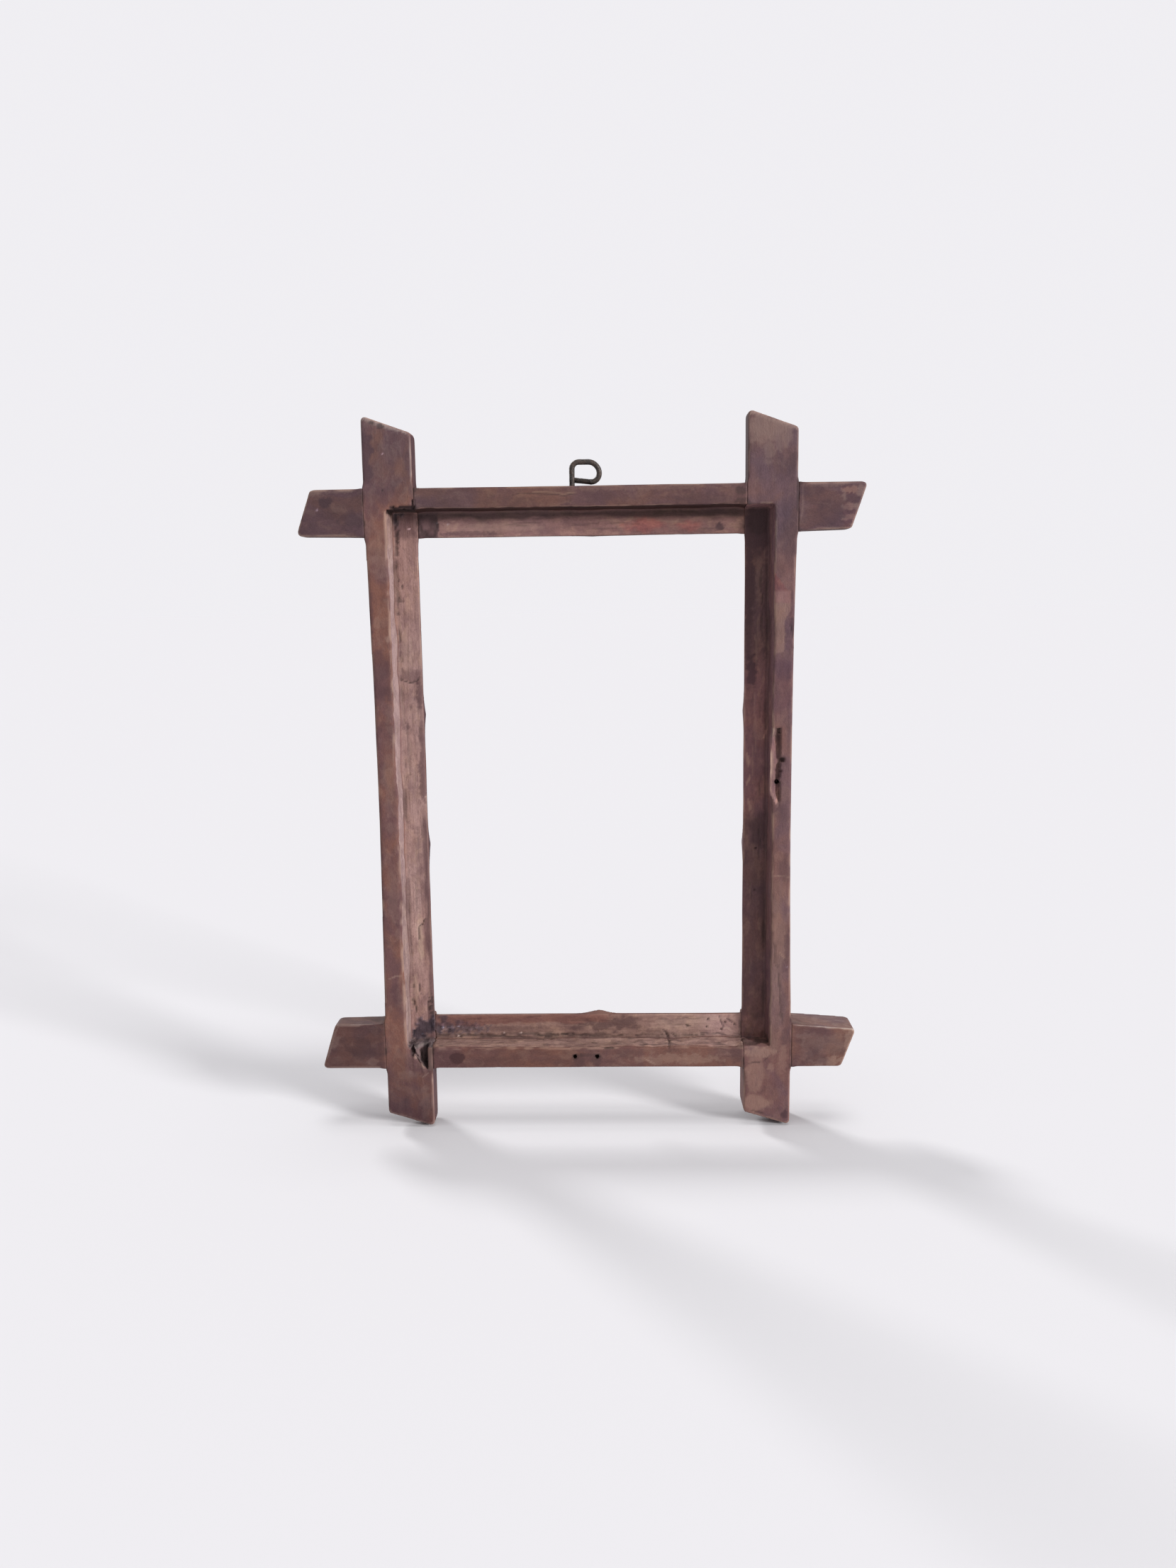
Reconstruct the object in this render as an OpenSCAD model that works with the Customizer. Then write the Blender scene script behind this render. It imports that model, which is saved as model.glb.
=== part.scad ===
/* [Bars] */
// Width of each upright bar
stile_w = 15; // [12:0.5:20]
// Width of the top cross bar
top_rail_w = 14.4; // [12:0.1:20]
// Width of the bottom cross bar
bottom_rail_w = 15.3; // [12:0.1:20]
// Thickness of all four bars, back face to front face
bar_t = 12; // [10.5:0.5:16]
// Radius of the worn corners of the bar ends
corner_r = 1.2; // [0.6:0.1:2]

/* [Layout] */
// Width over the outer edges of the two uprights
span_w = 128.4; // [110:0.1:200]
// Height over the outer edges of the two cross bars
span_h = 180; // [150:0.1:260]
// How far the outer edges of the uprights are hollowed at mid height
waist = 0.8; // [0.2:0.1:1.5]

/* [Bar ends] */
// How far the long corner of an upright stands above the top cross bar
stile_top_horn = 21.1; // [14:0.1:30]
// How far the long corner of an upright reaches below the bottom cross bar
stile_foot_horn = 19.7; // [14:0.1:30]
// Drop of the slanted cut across the top of an upright
stile_top_slant = 5.4; // [2:0.1:8]
// Rise of the slanted cut across the foot of an upright
stile_foot_slant = 4.6; // [2:0.1:8]
// How far the long corner of a cross bar stands beyond an upright
rail_horn = 20.4; // [14:0.1:30]
// Run of the slanted cut across each end of a cross bar
rail_slant = 4.7; // [2:0.1:8]
// How much the inner edge of a cross bar is shaved back at its tips
rail_shave = 0.7; // [0:0.1:2]
// How much the worn right arm of the bottom cross bar is shaved back
worn_shave = 2.8; // [0:0.1:4]

/* [Halvings] */
// Thickness that the uprights keep at a crossing, from the back face
stile_share = 8; // [7.6:0.1:9]
// Gap on each side of a halving
joint_gap = 0.15; // [0.05:0.05:0.4]

/* [Rebate] */
// Depth of the rebate, from the back face
rebate_depth = 7; // [5:0.1:7.4]
// Width of the back face that is left beside the rebate on an upright
stile_band = 7; // [5.5:0.1:9]
// Width of the back face that is left above the rebate
top_band = 6.2; // [5.5:0.1:8]
// Width of the back face that is left below the rebate
bottom_band = 6.9; // [5.5:0.1:8]
// How far the rebate's walls lean in between the back face and its floor
wall_lean = 0.6; // [0.2:0.1:1.2]

/* [Front carving] */
// Depth of the long chamfers below the front face
chamfer_depth = 3.8; // [2:0.1:3.9]
// Width of the long chamfers on the front face
chamfer_width = 3.6; // [2:0.1:4.5]
// Height of the upper uncut peak on the uprights, above the middle
upper_peak = 22; // [15:0.5:35]
// Depth of the lower uncut peak on the uprights, below the middle
lower_peak = 19.5; // [15:0.5:35]
// Offset of the uncut peak on the cross bars, to the right of the middle
rail_peak = 3.5; // [-10:0.5:10]
// Length of the uncut edge that is left at a peak
peak_flat = 0.8; // [0.4:0.1:4]
// Radius of the run-out of a chamfer at a peak
peak_r = 11; // [6:0.5:20]
// Distance at which the cross bars' chamfers stop short of a crossing
chamfer_stop = 0.3; // [0.2:0.1:3]
// Depth of the bevels on the bar ends, below the front face
bevel_depth = 4.6; // [2:0.1:6]
// Width of the bevels on the bar ends
bevel_width = 3; // [1:0.1:4]
// Depth and width of the small bevels on the two arms at the lower right crossing
plain_bevel = 0.8; // [0.4:0.1:2]

/* [Crossing brads] */
// Diameter of the brad through each crossing
brad_d = 1.2; // [0.8:0.1:1.6]
// Diameter of its flat head
brad_head_d = 2.2; // [1.8:0.1:3]
// Thickness of its head
brad_head_t = 0.6; // [0.4:0.1:1]
// Distance of a brad from the outer edges of the two bars that it joins
brad_inset = 2.8; // [2:0.1:4]
// Wood left between its point and the back face
brad_cover = 1; // [0.4:0.1:2]

/* [Hanging loop] */
// Diameter of the iron wire
wire_d = 1.7; // [1.2:0.1:2]
// Depth of the wire's leg in the top cross bar
leg_depth = 5; // [3:0.1:5]
// Distance of the leg to the left of the middle
leg_offset = 2.4; // [-10:0.1:10]
// Height of the wire's centre at the top of the eye, above the cross bar
eye_rise = 7.2; // [6.8:0.1:10]
// Radius of the bend between the leg and the eye
bend_r = 2; // [1.5:0.1:2.5]
// Length of the straight top of the eye
eye_run = 2.8; // [2:0.1:6]
// Radius of the upper half of the eye
eye_upper_r = 3.35; // [3:0.05:3.6]
// Radius of the lower half of the eye
eye_lower_r = 2.45; // [2:0.05:2.6]
// Upward slope of the wire's tail towards the leg, in degrees
tail_slope = 8; // [2:1:14]
// How much thicker the wire is at the kink below the eye
kink_swell = 0.1; // [0.05:0.05:0.3]

/* [Old nail holes and damage] */
// Diameter of the old nail holes
nail_hole_d = 1.7; // [1:0.1:2.2]
// Depth of the old nail holes
nail_hole_depth = 6; // [3:0.5:8]
// Distance of the nail holes in the bottom bar from the rebate's edge
nail_inset = 3.2; // [1.5:0.1:4]
// Distance of the left nail hole to the left of the middle
nail_left = 4; // [2:0.5:20]
// Distance of the right nail hole to the right of the middle
nail_right = 3; // [2:0.5:20]
// Height of the nail hole in the right upright, above the middle
side_nail_height = 1; // [-40:0.5:40]
// Distance of that nail hole from the rebate's edge
side_nail_inset = 1.7; // [1.5:0.1:4]
// Length of the splinter broken out of the left upright's foot
chip_length = 7.4; // [3:0.1:9]
// Width of that splinter at the rebate
chip_width = 5.8; // [2:0.1:7]
// Greatest depth of that splinter
chip_depth = 4.5; // [1:0.1:6]
// Width of the sliver of wood left beside it
chip_sliver = 1.8; // [1:0.1:3]

/* [Hidden] */
$fn = 48;

// Radial gap around a driven wire or brad
drive_gap = 0.02;
// Gap between the wire's tail and its leg
tail_gap = 0.1;
// Excess by which a cutter passes the face that it cuts
over = 1;
// Points on a worn corner and on a hollowed edge
corner_steps = 6;
waist_steps = 12;

// Each bar lies flat in its own drawing: X to the right, Y up, back face on top and front face below
back = bar_t / 2;
front = -bar_t / 2;
split = back - stile_share;
floor_level = back - rebate_depth;
top_y = span_h / 2;
bottom_y = -span_h / 2;
top_sight = top_y - top_rail_w;
bottom_sight = bottom_y + bottom_rail_w;
head = top_y + stile_top_horn;
foot = bottom_y - stile_foot_horn;
side_x = span_w / 2;
sight_x = side_x - stile_w;
tip_x = side_x + rail_horn;
stile_half = stile_w / 2;

function unit(v) = v / norm(v);
// The corner b of an outline that runs counterclockwise from a to c, worn to a radius
function worn(a, b, c) =
    let (u = unit(a - b), w = unit(c - b),
         half = acos(u * w) / 2,
         centre = b + unit(u + w) * corner_r / sin(half),
         first = atan2(u[0], -u[1]))
    [for (i = [0 : corner_steps])
        let (t = first + (180 - 2 * half) * i / corner_steps)
        centre + corner_r * [cos(t), sin(t)]];
// Height to which the inner edge of a cross bar is shaved at distance x from the middle
function shaved(inner, shave, x) = inner + shave * (x - sight_x) / (tip_x - sight_x);
// How deep a chamfer's flat lies below the arris that it takes off
function chamfer_cut(depth, width) = depth * width / norm([depth, width]);
// Distance from the middle of a peak at which a chamfer reaches its full depth
run_out = peak_flat / 2 + sqrt(2 * peak_r * chamfer_cut(chamfer_depth, chamfer_width)
                               - pow(chamfer_cut(chamfer_depth, chamfer_width), 2));

// The outer edge of an upright, hollowed between the cross bars, upwards on the right or downwards on the left
function hollowed(side, half) =
    [for (i = [0 : waist_steps])
        let (t = side > 0 ? i / waist_steps : 1 - i / waist_steps)
        [side * (half - 4 * waist * t * (1 - t)), bottom_sight + t * (top_sight - bottom_sight)]];

// An upright about its own middle line, with its outer edge on the given side and both edges moved out by a gap
module stile_outline(side, gap = 0) {
    half = stile_half + gap;
    a = [-half, foot + stile_foot_slant];
    b = [half, foot];
    c = [half, head - stile_top_slant];
    d = [-half, head];
    polygon(concat(worn(d, a, b), worn(a, b, c), side > 0 ? hollowed(side, half) : [],
                   worn(b, c, d), worn(c, d, a), side < 0 ? hollowed(side, half) : []));
}

// The top cross bar, its inner edge below
module top_rail_outline(gap = 0) {
    inner = top_sight - gap;
    outer = top_y + gap;
    a = [-tip_x, shaved(inner, rail_shave, tip_x)];
    b = [tip_x - rail_slant, shaved(inner, rail_shave, tip_x - rail_slant)];
    c = [tip_x, outer];
    d = [-tip_x + rail_slant, outer];
    left = [-sight_x, inner];
    right = [sight_x, inner];
    polygon(concat(worn(d, a, left), [left, right], worn(right, b, c), worn(b, c, d), worn(c, d, a)));
}

// The bottom cross bar, its inner edge above and its right arm worn thinner
module bottom_rail_outline(gap = 0) {
    inner = bottom_sight + gap;
    outer = bottom_y - gap;
    a = [-tip_x, outer];
    b = [tip_x - rail_slant, outer];
    c = [tip_x, shaved(inner, -worn_shave, tip_x)];
    d = [-tip_x + rail_slant, shaved(inner, -rail_shave, tip_x - rail_slant)];
    left = [-sight_x, inner];
    right = [sight_x, inner];
    polygon(concat(worn(d, a, b), worn(a, b, c), worn(b, c, right), [right, left], worn(left, d, a)));
}

// A layer of an outline between two levels of the bar's thickness
module layer(low, high) {
    translate([0, 0, low]) linear_extrude(height = high - low) children();
}

// The space that both cross bars take out of the front of an upright, in that upright's own drawing
module rail_seats(x) {
    translate([-x, 0, 0]) layer(front - over, split) {
        top_rail_outline(joint_gap);
        bottom_rail_outline(joint_gap);
    }
}

// The space that both uprights take out of the back of a cross bar
module stile_seats() {
    for (side = [-1, 1])
        translate([side * (side_x - stile_half), 0, 0]) layer(split, back + over)
            stile_outline(side, joint_gap);
}

// The rebate, cut from the back, with walls that lean in towards its floor
module rebate() {
    flare = wall_lean * (rebate_depth + over) / rebate_depth;
    half_w = side_x - stile_band - wall_lean;
    low = bottom_y + bottom_band + wall_lean;
    high = top_y - top_band - wall_lean;
    intersection() {
        rotate([90, 0, 0]) linear_extrude(height = 2 * span_h, center = true)
            polygon([[-half_w, floor_level], [half_w, floor_level],
                     [half_w + flare, back + over], [-half_w - flare, back + over]]);
        rotate([90, 0, 90]) linear_extrude(height = 2 * span_w, center = true)
            polygon([[low, floor_level], [high, floor_level],
                     [high + flare, back + over], [low - flare, back + over]]);
    }
}

// A cutter for the front edge from p to q, with the wood on its left, run out at either end where asked
module edge_cut(p, q, depth, width, run_p = false, run_q = false) {
    run = q - p;
    cut = chamfer_cut(depth, width);
    reach = depth + width;
    start = run_p ? run_out : 0;
    end = norm(run) - (run_q ? run_out : 0);
    translate([p[0], p[1], front]) rotate([0, 0, atan2(run[1], run[0])])
        mirror([0, 0, 1]) rotate([atan2(depth, width), 0, 0]) {
            translate([start, -reach, -cut]) cube([end - start, 2 * reach, cut + over]);
            if (run_p)
                translate([start, 0, peak_r - cut]) rotate([90, 0, 0])
                    cylinder(r = peak_r, h = 2 * reach, center = true, $fn = 180);
            if (run_q)
                translate([end, 0, peak_r - cut]) rotate([90, 0, 0])
                    cylinder(r = peak_r, h = 2 * reach, center = true, $fn = 180);
        }
}

// Chamfers along both front edges of an upright, between the cross bars
module stile_chamfers() {
    stops = [bottom_sight, -lower_peak, upper_peak, top_sight];
    for (i = [0 : 2]) {
        low = stops[i];
        high = stops[i + 1];
        edge_cut([stile_half, low], [stile_half, high], chamfer_depth, chamfer_width, i > 0, i < 2);
        edge_cut([-stile_half, high], [-stile_half, low], chamfer_depth, chamfer_width, i < 2, i > 0);
    }
}

// Bevels round the front of an upright's top or foot
module stile_top_bevels(depth, width) {
    corner = [stile_half, head - stile_top_slant];
    edge_cut([stile_half, top_y], [stile_half, head], depth, width);
    edge_cut([-stile_half, head], [-stile_half, top_y], depth, width);
    slope = unit([-stile_w, stile_top_slant]) * over;
    edge_cut(corner - slope, [-stile_half, head] + slope, depth, width);
}
module stile_foot_bevels(depth, width) {
    corner = [-stile_half, foot + stile_foot_slant];
    edge_cut([stile_half, foot], [stile_half, bottom_y], depth, width);
    edge_cut([-stile_half, bottom_y], [-stile_half, foot], depth, width);
    slope = unit([stile_w, -stile_foot_slant]) * over;
    edge_cut(corner - slope, [stile_half, foot] + slope, depth, width);
}

// Chamfers along both front edges of a cross bar, between the uprights
module rail_chamfers(low, high) {
    stop = sight_x - chamfer_stop;
    edge_cut([-stop, low], [rail_peak, low], chamfer_depth, chamfer_width, false, true);
    edge_cut([rail_peak, low], [stop, low], chamfer_depth, chamfer_width, true, false);
    edge_cut([stop, high], [rail_peak, high], chamfer_depth, chamfer_width, false, true);
    edge_cut([rail_peak, high], [-stop, high], chamfer_depth, chamfer_width, true, false);
}

// Bevels round the front of a cross bar's left or right arm, between its lower and upper edge
module left_arm_bevels(low_tip, low_root, high_tip, high_root, depth, width) {
    slope = unit([rail_slant, high_tip - low_tip]) * over;
    edge_cut([-tip_x, low_tip], [-side_x, low_root], depth, width);
    edge_cut([-side_x, high_root], [-tip_x, high_tip], depth, width);
    edge_cut([-tip_x + rail_slant, high_tip] + slope, [-tip_x, low_tip] - slope, depth, width);
}
module right_arm_bevels(low_tip, low_root, high_tip, high_root, depth, width) {
    slope = unit([rail_slant, high_tip - low_tip]) * over;
    edge_cut([side_x, low_root], [tip_x, low_tip], depth, width);
    edge_cut([tip_x, high_tip], [side_x, high_root], depth, width);
    edge_cut([tip_x - rail_slant, low_tip] - slope, [tip_x, high_tip] + slope, depth, width);
}

// One brad, driven from the front, its head flush with the front face
module brad(gap) {
    translate([0, 0, front - (gap > 0 ? over : 0)])
        cylinder(d = brad_head_d + 2 * gap, h = brad_head_t + (gap > 0 ? over : 0));
    translate([0, 0, front]) cylinder(d = brad_d + 2 * gap, h = bar_t - brad_cover);
}
module brads(gap = 0) {
    for (x = [-1, 1] * (side_x - brad_inset), y = [bottom_y + brad_inset, top_y - brad_inset])
        translate([x, y, 0]) brad(gap);
}

module nail_hole(x, y) {
    translate([x, y, back - nail_hole_depth]) cylinder(d = nail_hole_d, h = nail_hole_depth + over);
}

// The gap left by the splinter at the left upright's foot: a wedge, deepest beside the sliver
module chip() {
    x = -sight_x - chip_sliver;
    y = bottom_y + bottom_band;
    intersection() {
        layer(floor_level, back + over)
            polygon([[x, y - chip_length], [x, y + over + wall_lean], [x - chip_width, y + over + wall_lean],
                     [x - chip_width, y]]);
        translate([x - chip_width, 0, back]) rotate([0, atan2(chip_depth, chip_width), 0])
            translate([-bar_t, -span_h, 0]) cube([2 * bar_t, 2 * span_h, bar_t]);
    }
}

// Stands a flat drawing up: its back face turns to -Y. Height zero is where the uprights' lowest corners
// would end if they were sharp, a little below their worn tips
module stand() {
    translate([0, 0, -foot]) rotate([90, 0, 0]) children();
}

module left_stile() color([0.43, 0.31, 0.26]) stand() {
    x = stile_half - side_x;
    difference() {
        translate([x, 0, 0]) difference() {
            layer(front, back) stile_outline(-1);
            rail_seats(x);
            stile_chamfers();
            stile_top_bevels(bevel_depth, bevel_width);
            stile_foot_bevels(bevel_depth, bevel_width);
        }
        rebate();
        chip();
        brads(drive_gap);
    }
}

module right_stile() color([0.42, 0.31, 0.27]) stand() {
    x = side_x - stile_half;
    difference() {
        translate([x, 0, 0]) difference() {
            layer(front, back) stile_outline(1);
            rail_seats(x);
            stile_chamfers();
            stile_top_bevels(bevel_depth, bevel_width);
            stile_foot_bevels(plain_bevel, plain_bevel);
        }
        rebate();
        brads(drive_gap);
        nail_hole(side_x - stile_band + side_nail_inset, side_nail_height);
    }
}

module top_rail() color([0.38, 0.28, 0.24]) stand() {
    root = shaved(top_sight, rail_shave, side_x);
    tip = shaved(top_sight, rail_shave, tip_x);
    difference() {
        layer(front, back) top_rail_outline();
        stile_seats();
        rebate();
        brads(drive_gap);
        rail_chamfers(top_sight, top_y);
        left_arm_bevels(tip, root, top_y, top_y, bevel_depth, bevel_width);
        right_arm_bevels(tip, root, top_y, top_y, bevel_depth, bevel_width);
        translate([-leg_offset, top_y + over, 0]) rotate([90, 0, 0])
            cylinder(d = wire_d + 2 * drive_gap, h = leg_depth + over);
    }
}

module bottom_rail() color([0.45, 0.34, 0.28]) stand() {
    left_root = shaved(bottom_sight, -rail_shave, side_x);
    left_tip = shaved(bottom_sight, -rail_shave, tip_x);
    right_root = shaved(bottom_sight, -worn_shave, side_x);
    right_tip = shaved(bottom_sight, -worn_shave, tip_x);
    nail_y = bottom_y + bottom_band - nail_inset;
    difference() {
        layer(front, back) bottom_rail_outline();
        stile_seats();
        rebate();
        brads(drive_gap);
        rail_chamfers(bottom_y, bottom_sight);
        left_arm_bevels(bottom_y, bottom_y, left_tip, left_root, bevel_depth, bevel_width);
        right_arm_bevels(bottom_y, bottom_y, right_tip, right_root, plain_bevel, plain_bevel);
        nail_hole(-nail_left, nail_y);
        nail_hole(nail_right, nail_y);
    }
}

// The wire is followed from its foot: each stretch carries the rest of the wire on its end
module straight(run) {
    cylinder(d = wire_d, h = run);
    translate([0, 0, run]) children();
}
module bend(r, turn) {
    translate([r, 0, 0]) {
        rotate([90, 0, 0]) rotate([0, 0, 180 - turn])
            rotate_extrude(angle = turn) translate([r, 0]) circle(d = wire_d);
        rotate([0, turn, 0]) translate([-r, 0, 0]) children();
    }
}

// The leg stands in the cross bar; the tail comes back from a kink below the eye and passes behind the leg
module hanging_loop() color([0.24, 0.21, 0.2]) stand() {
    reach = (bend_r + eye_run + eye_upper_r - eye_lower_r) / cos(tail_slope);
    turn = asin((wire_d + tail_gap) / reach);
    translate([-leg_offset, top_y - leg_depth, 0]) rotate([-90, 0, 0])
        straight(leg_depth + eye_rise - bend_r) bend(bend_r, 90)
        straight(eye_run) bend(eye_upper_r, 90) bend(eye_lower_r, 90) {
            sphere(d = wire_d + kink_swell);
            rotate([0, tail_slope, 0]) rotate([-turn, 0, 0]) straight(reach / cos(turn));
        }
}

module crossing_brads() color([0.2, 0.18, 0.17]) stand() brads();

left_stile();
right_stile();
top_rail();
bottom_rail();
hanging_loop();
crossing_brads();
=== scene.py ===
import math

import bpy
import numpy as np
from mathutils import Matrix, Vector


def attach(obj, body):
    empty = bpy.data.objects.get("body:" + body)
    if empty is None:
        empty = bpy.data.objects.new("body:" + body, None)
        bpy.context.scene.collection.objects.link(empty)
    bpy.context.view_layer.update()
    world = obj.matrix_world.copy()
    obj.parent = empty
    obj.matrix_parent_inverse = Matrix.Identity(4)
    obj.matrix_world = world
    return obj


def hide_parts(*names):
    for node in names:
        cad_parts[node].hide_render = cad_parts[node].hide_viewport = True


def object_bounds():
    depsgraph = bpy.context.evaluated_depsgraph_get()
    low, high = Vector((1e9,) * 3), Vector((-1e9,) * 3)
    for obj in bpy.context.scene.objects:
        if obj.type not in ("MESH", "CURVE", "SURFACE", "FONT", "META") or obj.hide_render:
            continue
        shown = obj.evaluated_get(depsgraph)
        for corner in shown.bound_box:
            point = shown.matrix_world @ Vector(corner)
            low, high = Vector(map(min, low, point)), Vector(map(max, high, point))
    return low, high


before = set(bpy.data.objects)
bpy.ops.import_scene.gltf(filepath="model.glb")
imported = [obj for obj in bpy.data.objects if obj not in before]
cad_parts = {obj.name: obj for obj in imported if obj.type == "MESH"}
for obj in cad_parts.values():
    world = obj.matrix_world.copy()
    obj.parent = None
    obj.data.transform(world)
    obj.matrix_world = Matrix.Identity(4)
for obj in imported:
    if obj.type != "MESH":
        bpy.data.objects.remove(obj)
cad_low, cad_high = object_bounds()

# Left upright: one straight bar of old open-grained hardwood, stained dark. It lies at the back of
# both halved crossings, carries the left side of the rebate, and a splinter is broken out of its foot.
# MM turns metres into the mm used below. Only the spacing of a mesh, a STEP, is in metres.
MM = 1000.0
SKIN_STEP = 0.0004
OCTREE_DEPTH = 9
SIGHT_X = 49.2
SIDE_X = 64.2
SIGHT_LOW = 35.0
SIGHT_HIGH = 185.3
RAIL_LOW = 19.7
RAIL_HIGH = 199.7
BACK_Y = -6.0
FLOOR_Y = 1.0
FRONT_Y = 6.0
WALL_X = 57.2
WALL_LOW = 26.6
WALL_HIGH = 193.5
CHAMFER_DEPTH = 3.8
CHAMFER_WIDTH = 3.6
JOINT_GAP = 0.15
MIDDLE_Z = 109.7
MARKS = ("pale", "dark", "grime", "raw")
DIRT_TINT = (1.15, 1.35, 1.5)
CRUMB_TINT = (1.9, 1.95, 2.0)
AGED_TINT = (0.99, 0.995, 1.06)


def even_skin(node_name, piece_name, step):
    """A part's own solid with an even, fine mesh that keeps its arrises, to be worn and carved."""
    piece = bpy.data.objects.new(piece_name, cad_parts[node_name].data.copy())
    bpy.context.scene.collection.objects.link(piece)
    remesh = piece.modifiers.new("even skin", "REMESH")
    remesh.mode = "SHARP"
    remesh.octree_depth = OCTREE_DEPTH
    remesh.scale = min(0.99, max(piece.dimensions) / (step * 2**OCTREE_DEPTH))
    remesh.use_remove_disconnected = False
    graph = bpy.context.evaluated_depsgraph_get()
    skin = bpy.data.meshes.new_from_object(piece.evaluated_get(graph))
    piece.modifiers.clear()
    piece.data = skin
    return piece


def read_points(collection, field):
    """A mesh's points or directions, three numbers in a row for each."""
    values = np.zeros(len(collection) * 3, np.float32)
    collection.foreach_get(field, values)
    return values.reshape(-1, 3).astype(float)


def write_points(mesh, points):
    """Moves a mesh's points to their places in mm."""
    mesh.vertices.foreach_set("co", (points / MM).astype(np.float32).ravel())
    mesh.update()


def relaxed(points, edges, rounds, pull=0.65):
    """The points after each has been pulled towards the middle of its neighbours a number of times."""
    count = np.bincount(edges.ravel(), minlength=len(points))[:, None]
    for _ in range(rounds):
        total = np.zeros_like(points)
        for axis in range(points.shape[1]):
            total[:, axis] += np.bincount(edges[:, 0], points[edges[:, 1], axis], len(points))
            total[:, axis] += np.bincount(edges[:, 1], points[edges[:, 0], axis], len(points))
        points = (1 - pull) * points + pull * total / count
    return points


SCATTER = np.array((374761393, 668265263, 974634777))
SEED_STEP = 69069
SHUFFLE = 1274126177
LOW_BITS = 0xFFFFFFFF


def noise(points, size, seed):
    """Smooth random values from -1 to 1, with lumps of the given size in mm along each axis."""
    place = points / np.array(size, float) + seed * 17.31
    cell = np.floor(place).astype(np.int64)
    inside = place - cell
    inside = inside * inside * (3 - 2 * inside)
    total = np.zeros(len(points))
    for corner in range(8):
        step = np.array([corner & 1, corner >> 1 & 1, corner >> 2 & 1])
        at = cell + step
        code = (at @ SCATTER + seed * SEED_STEP) & LOW_BITS
        code = ((code ^ (code >> 13)) * SHUFFLE) & LOW_BITS
        value = ((code ^ (code >> 16)) & 0xFFFF) / 32767.5 - 1
        share = np.where(step == 1, inside, 1 - inside).prod(1)
        total += value * share
    return total


def between(value, low, high):
    """0 below low, 1 above high, and an even curve between them."""
    t = np.clip((value - low) / (high - low), 0, 1)
    return t * t * (3 - 2 * t)


def fade(value, low, high):
    """1 below low, 0 above high, and an even curve between them."""
    return 1 - between(value, low, high)


def span(value, low, rise, fall, high):
    """1 between rise and fall, and down to 0 at low and high."""
    return between(value, low, rise) * fade(value, fall, high)


def blot(points, centre, radii, soft, seed, ragged=0.35):
    """An irregular patch about a place (x, z) in mm, 1 inside and 0 outside."""
    across = (points[:, 0] - centre[0]) / radii[0]
    up = (points[:, 2] - centre[1]) / radii[1]
    lump = min(radii) * 0.7
    edge = np.hypot(across, up) + ragged * noise(points, lump, seed)
    edge += 0.4 * ragged * noise(points, 0.3 * lump, seed + 1)
    return fade(edge, 1 - soft, 1 + soft)


def near_line(points, start, end):
    """Distance in mm from a line between two places (x, z), and how far along it each point lies."""
    a = np.array(start, float)
    run = np.array(end, float) - a
    flat = points[:, (0, 2)] - a
    along = np.clip(flat @ run / (run @ run), 0, 1)
    return np.linalg.norm(flat - along[:, None] * run, axis=1), along


def dress(piece, material):
    """Gives a worn piece its material and an even shading, and lets it move with the frame."""
    mesh = piece.data
    mesh.materials.clear()
    mesh.materials.append(material)
    mesh.polygons.foreach_set("use_smooth", np.ones(len(mesh.polygons), bool))
    mesh.update()
    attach(piece, "root")


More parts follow.
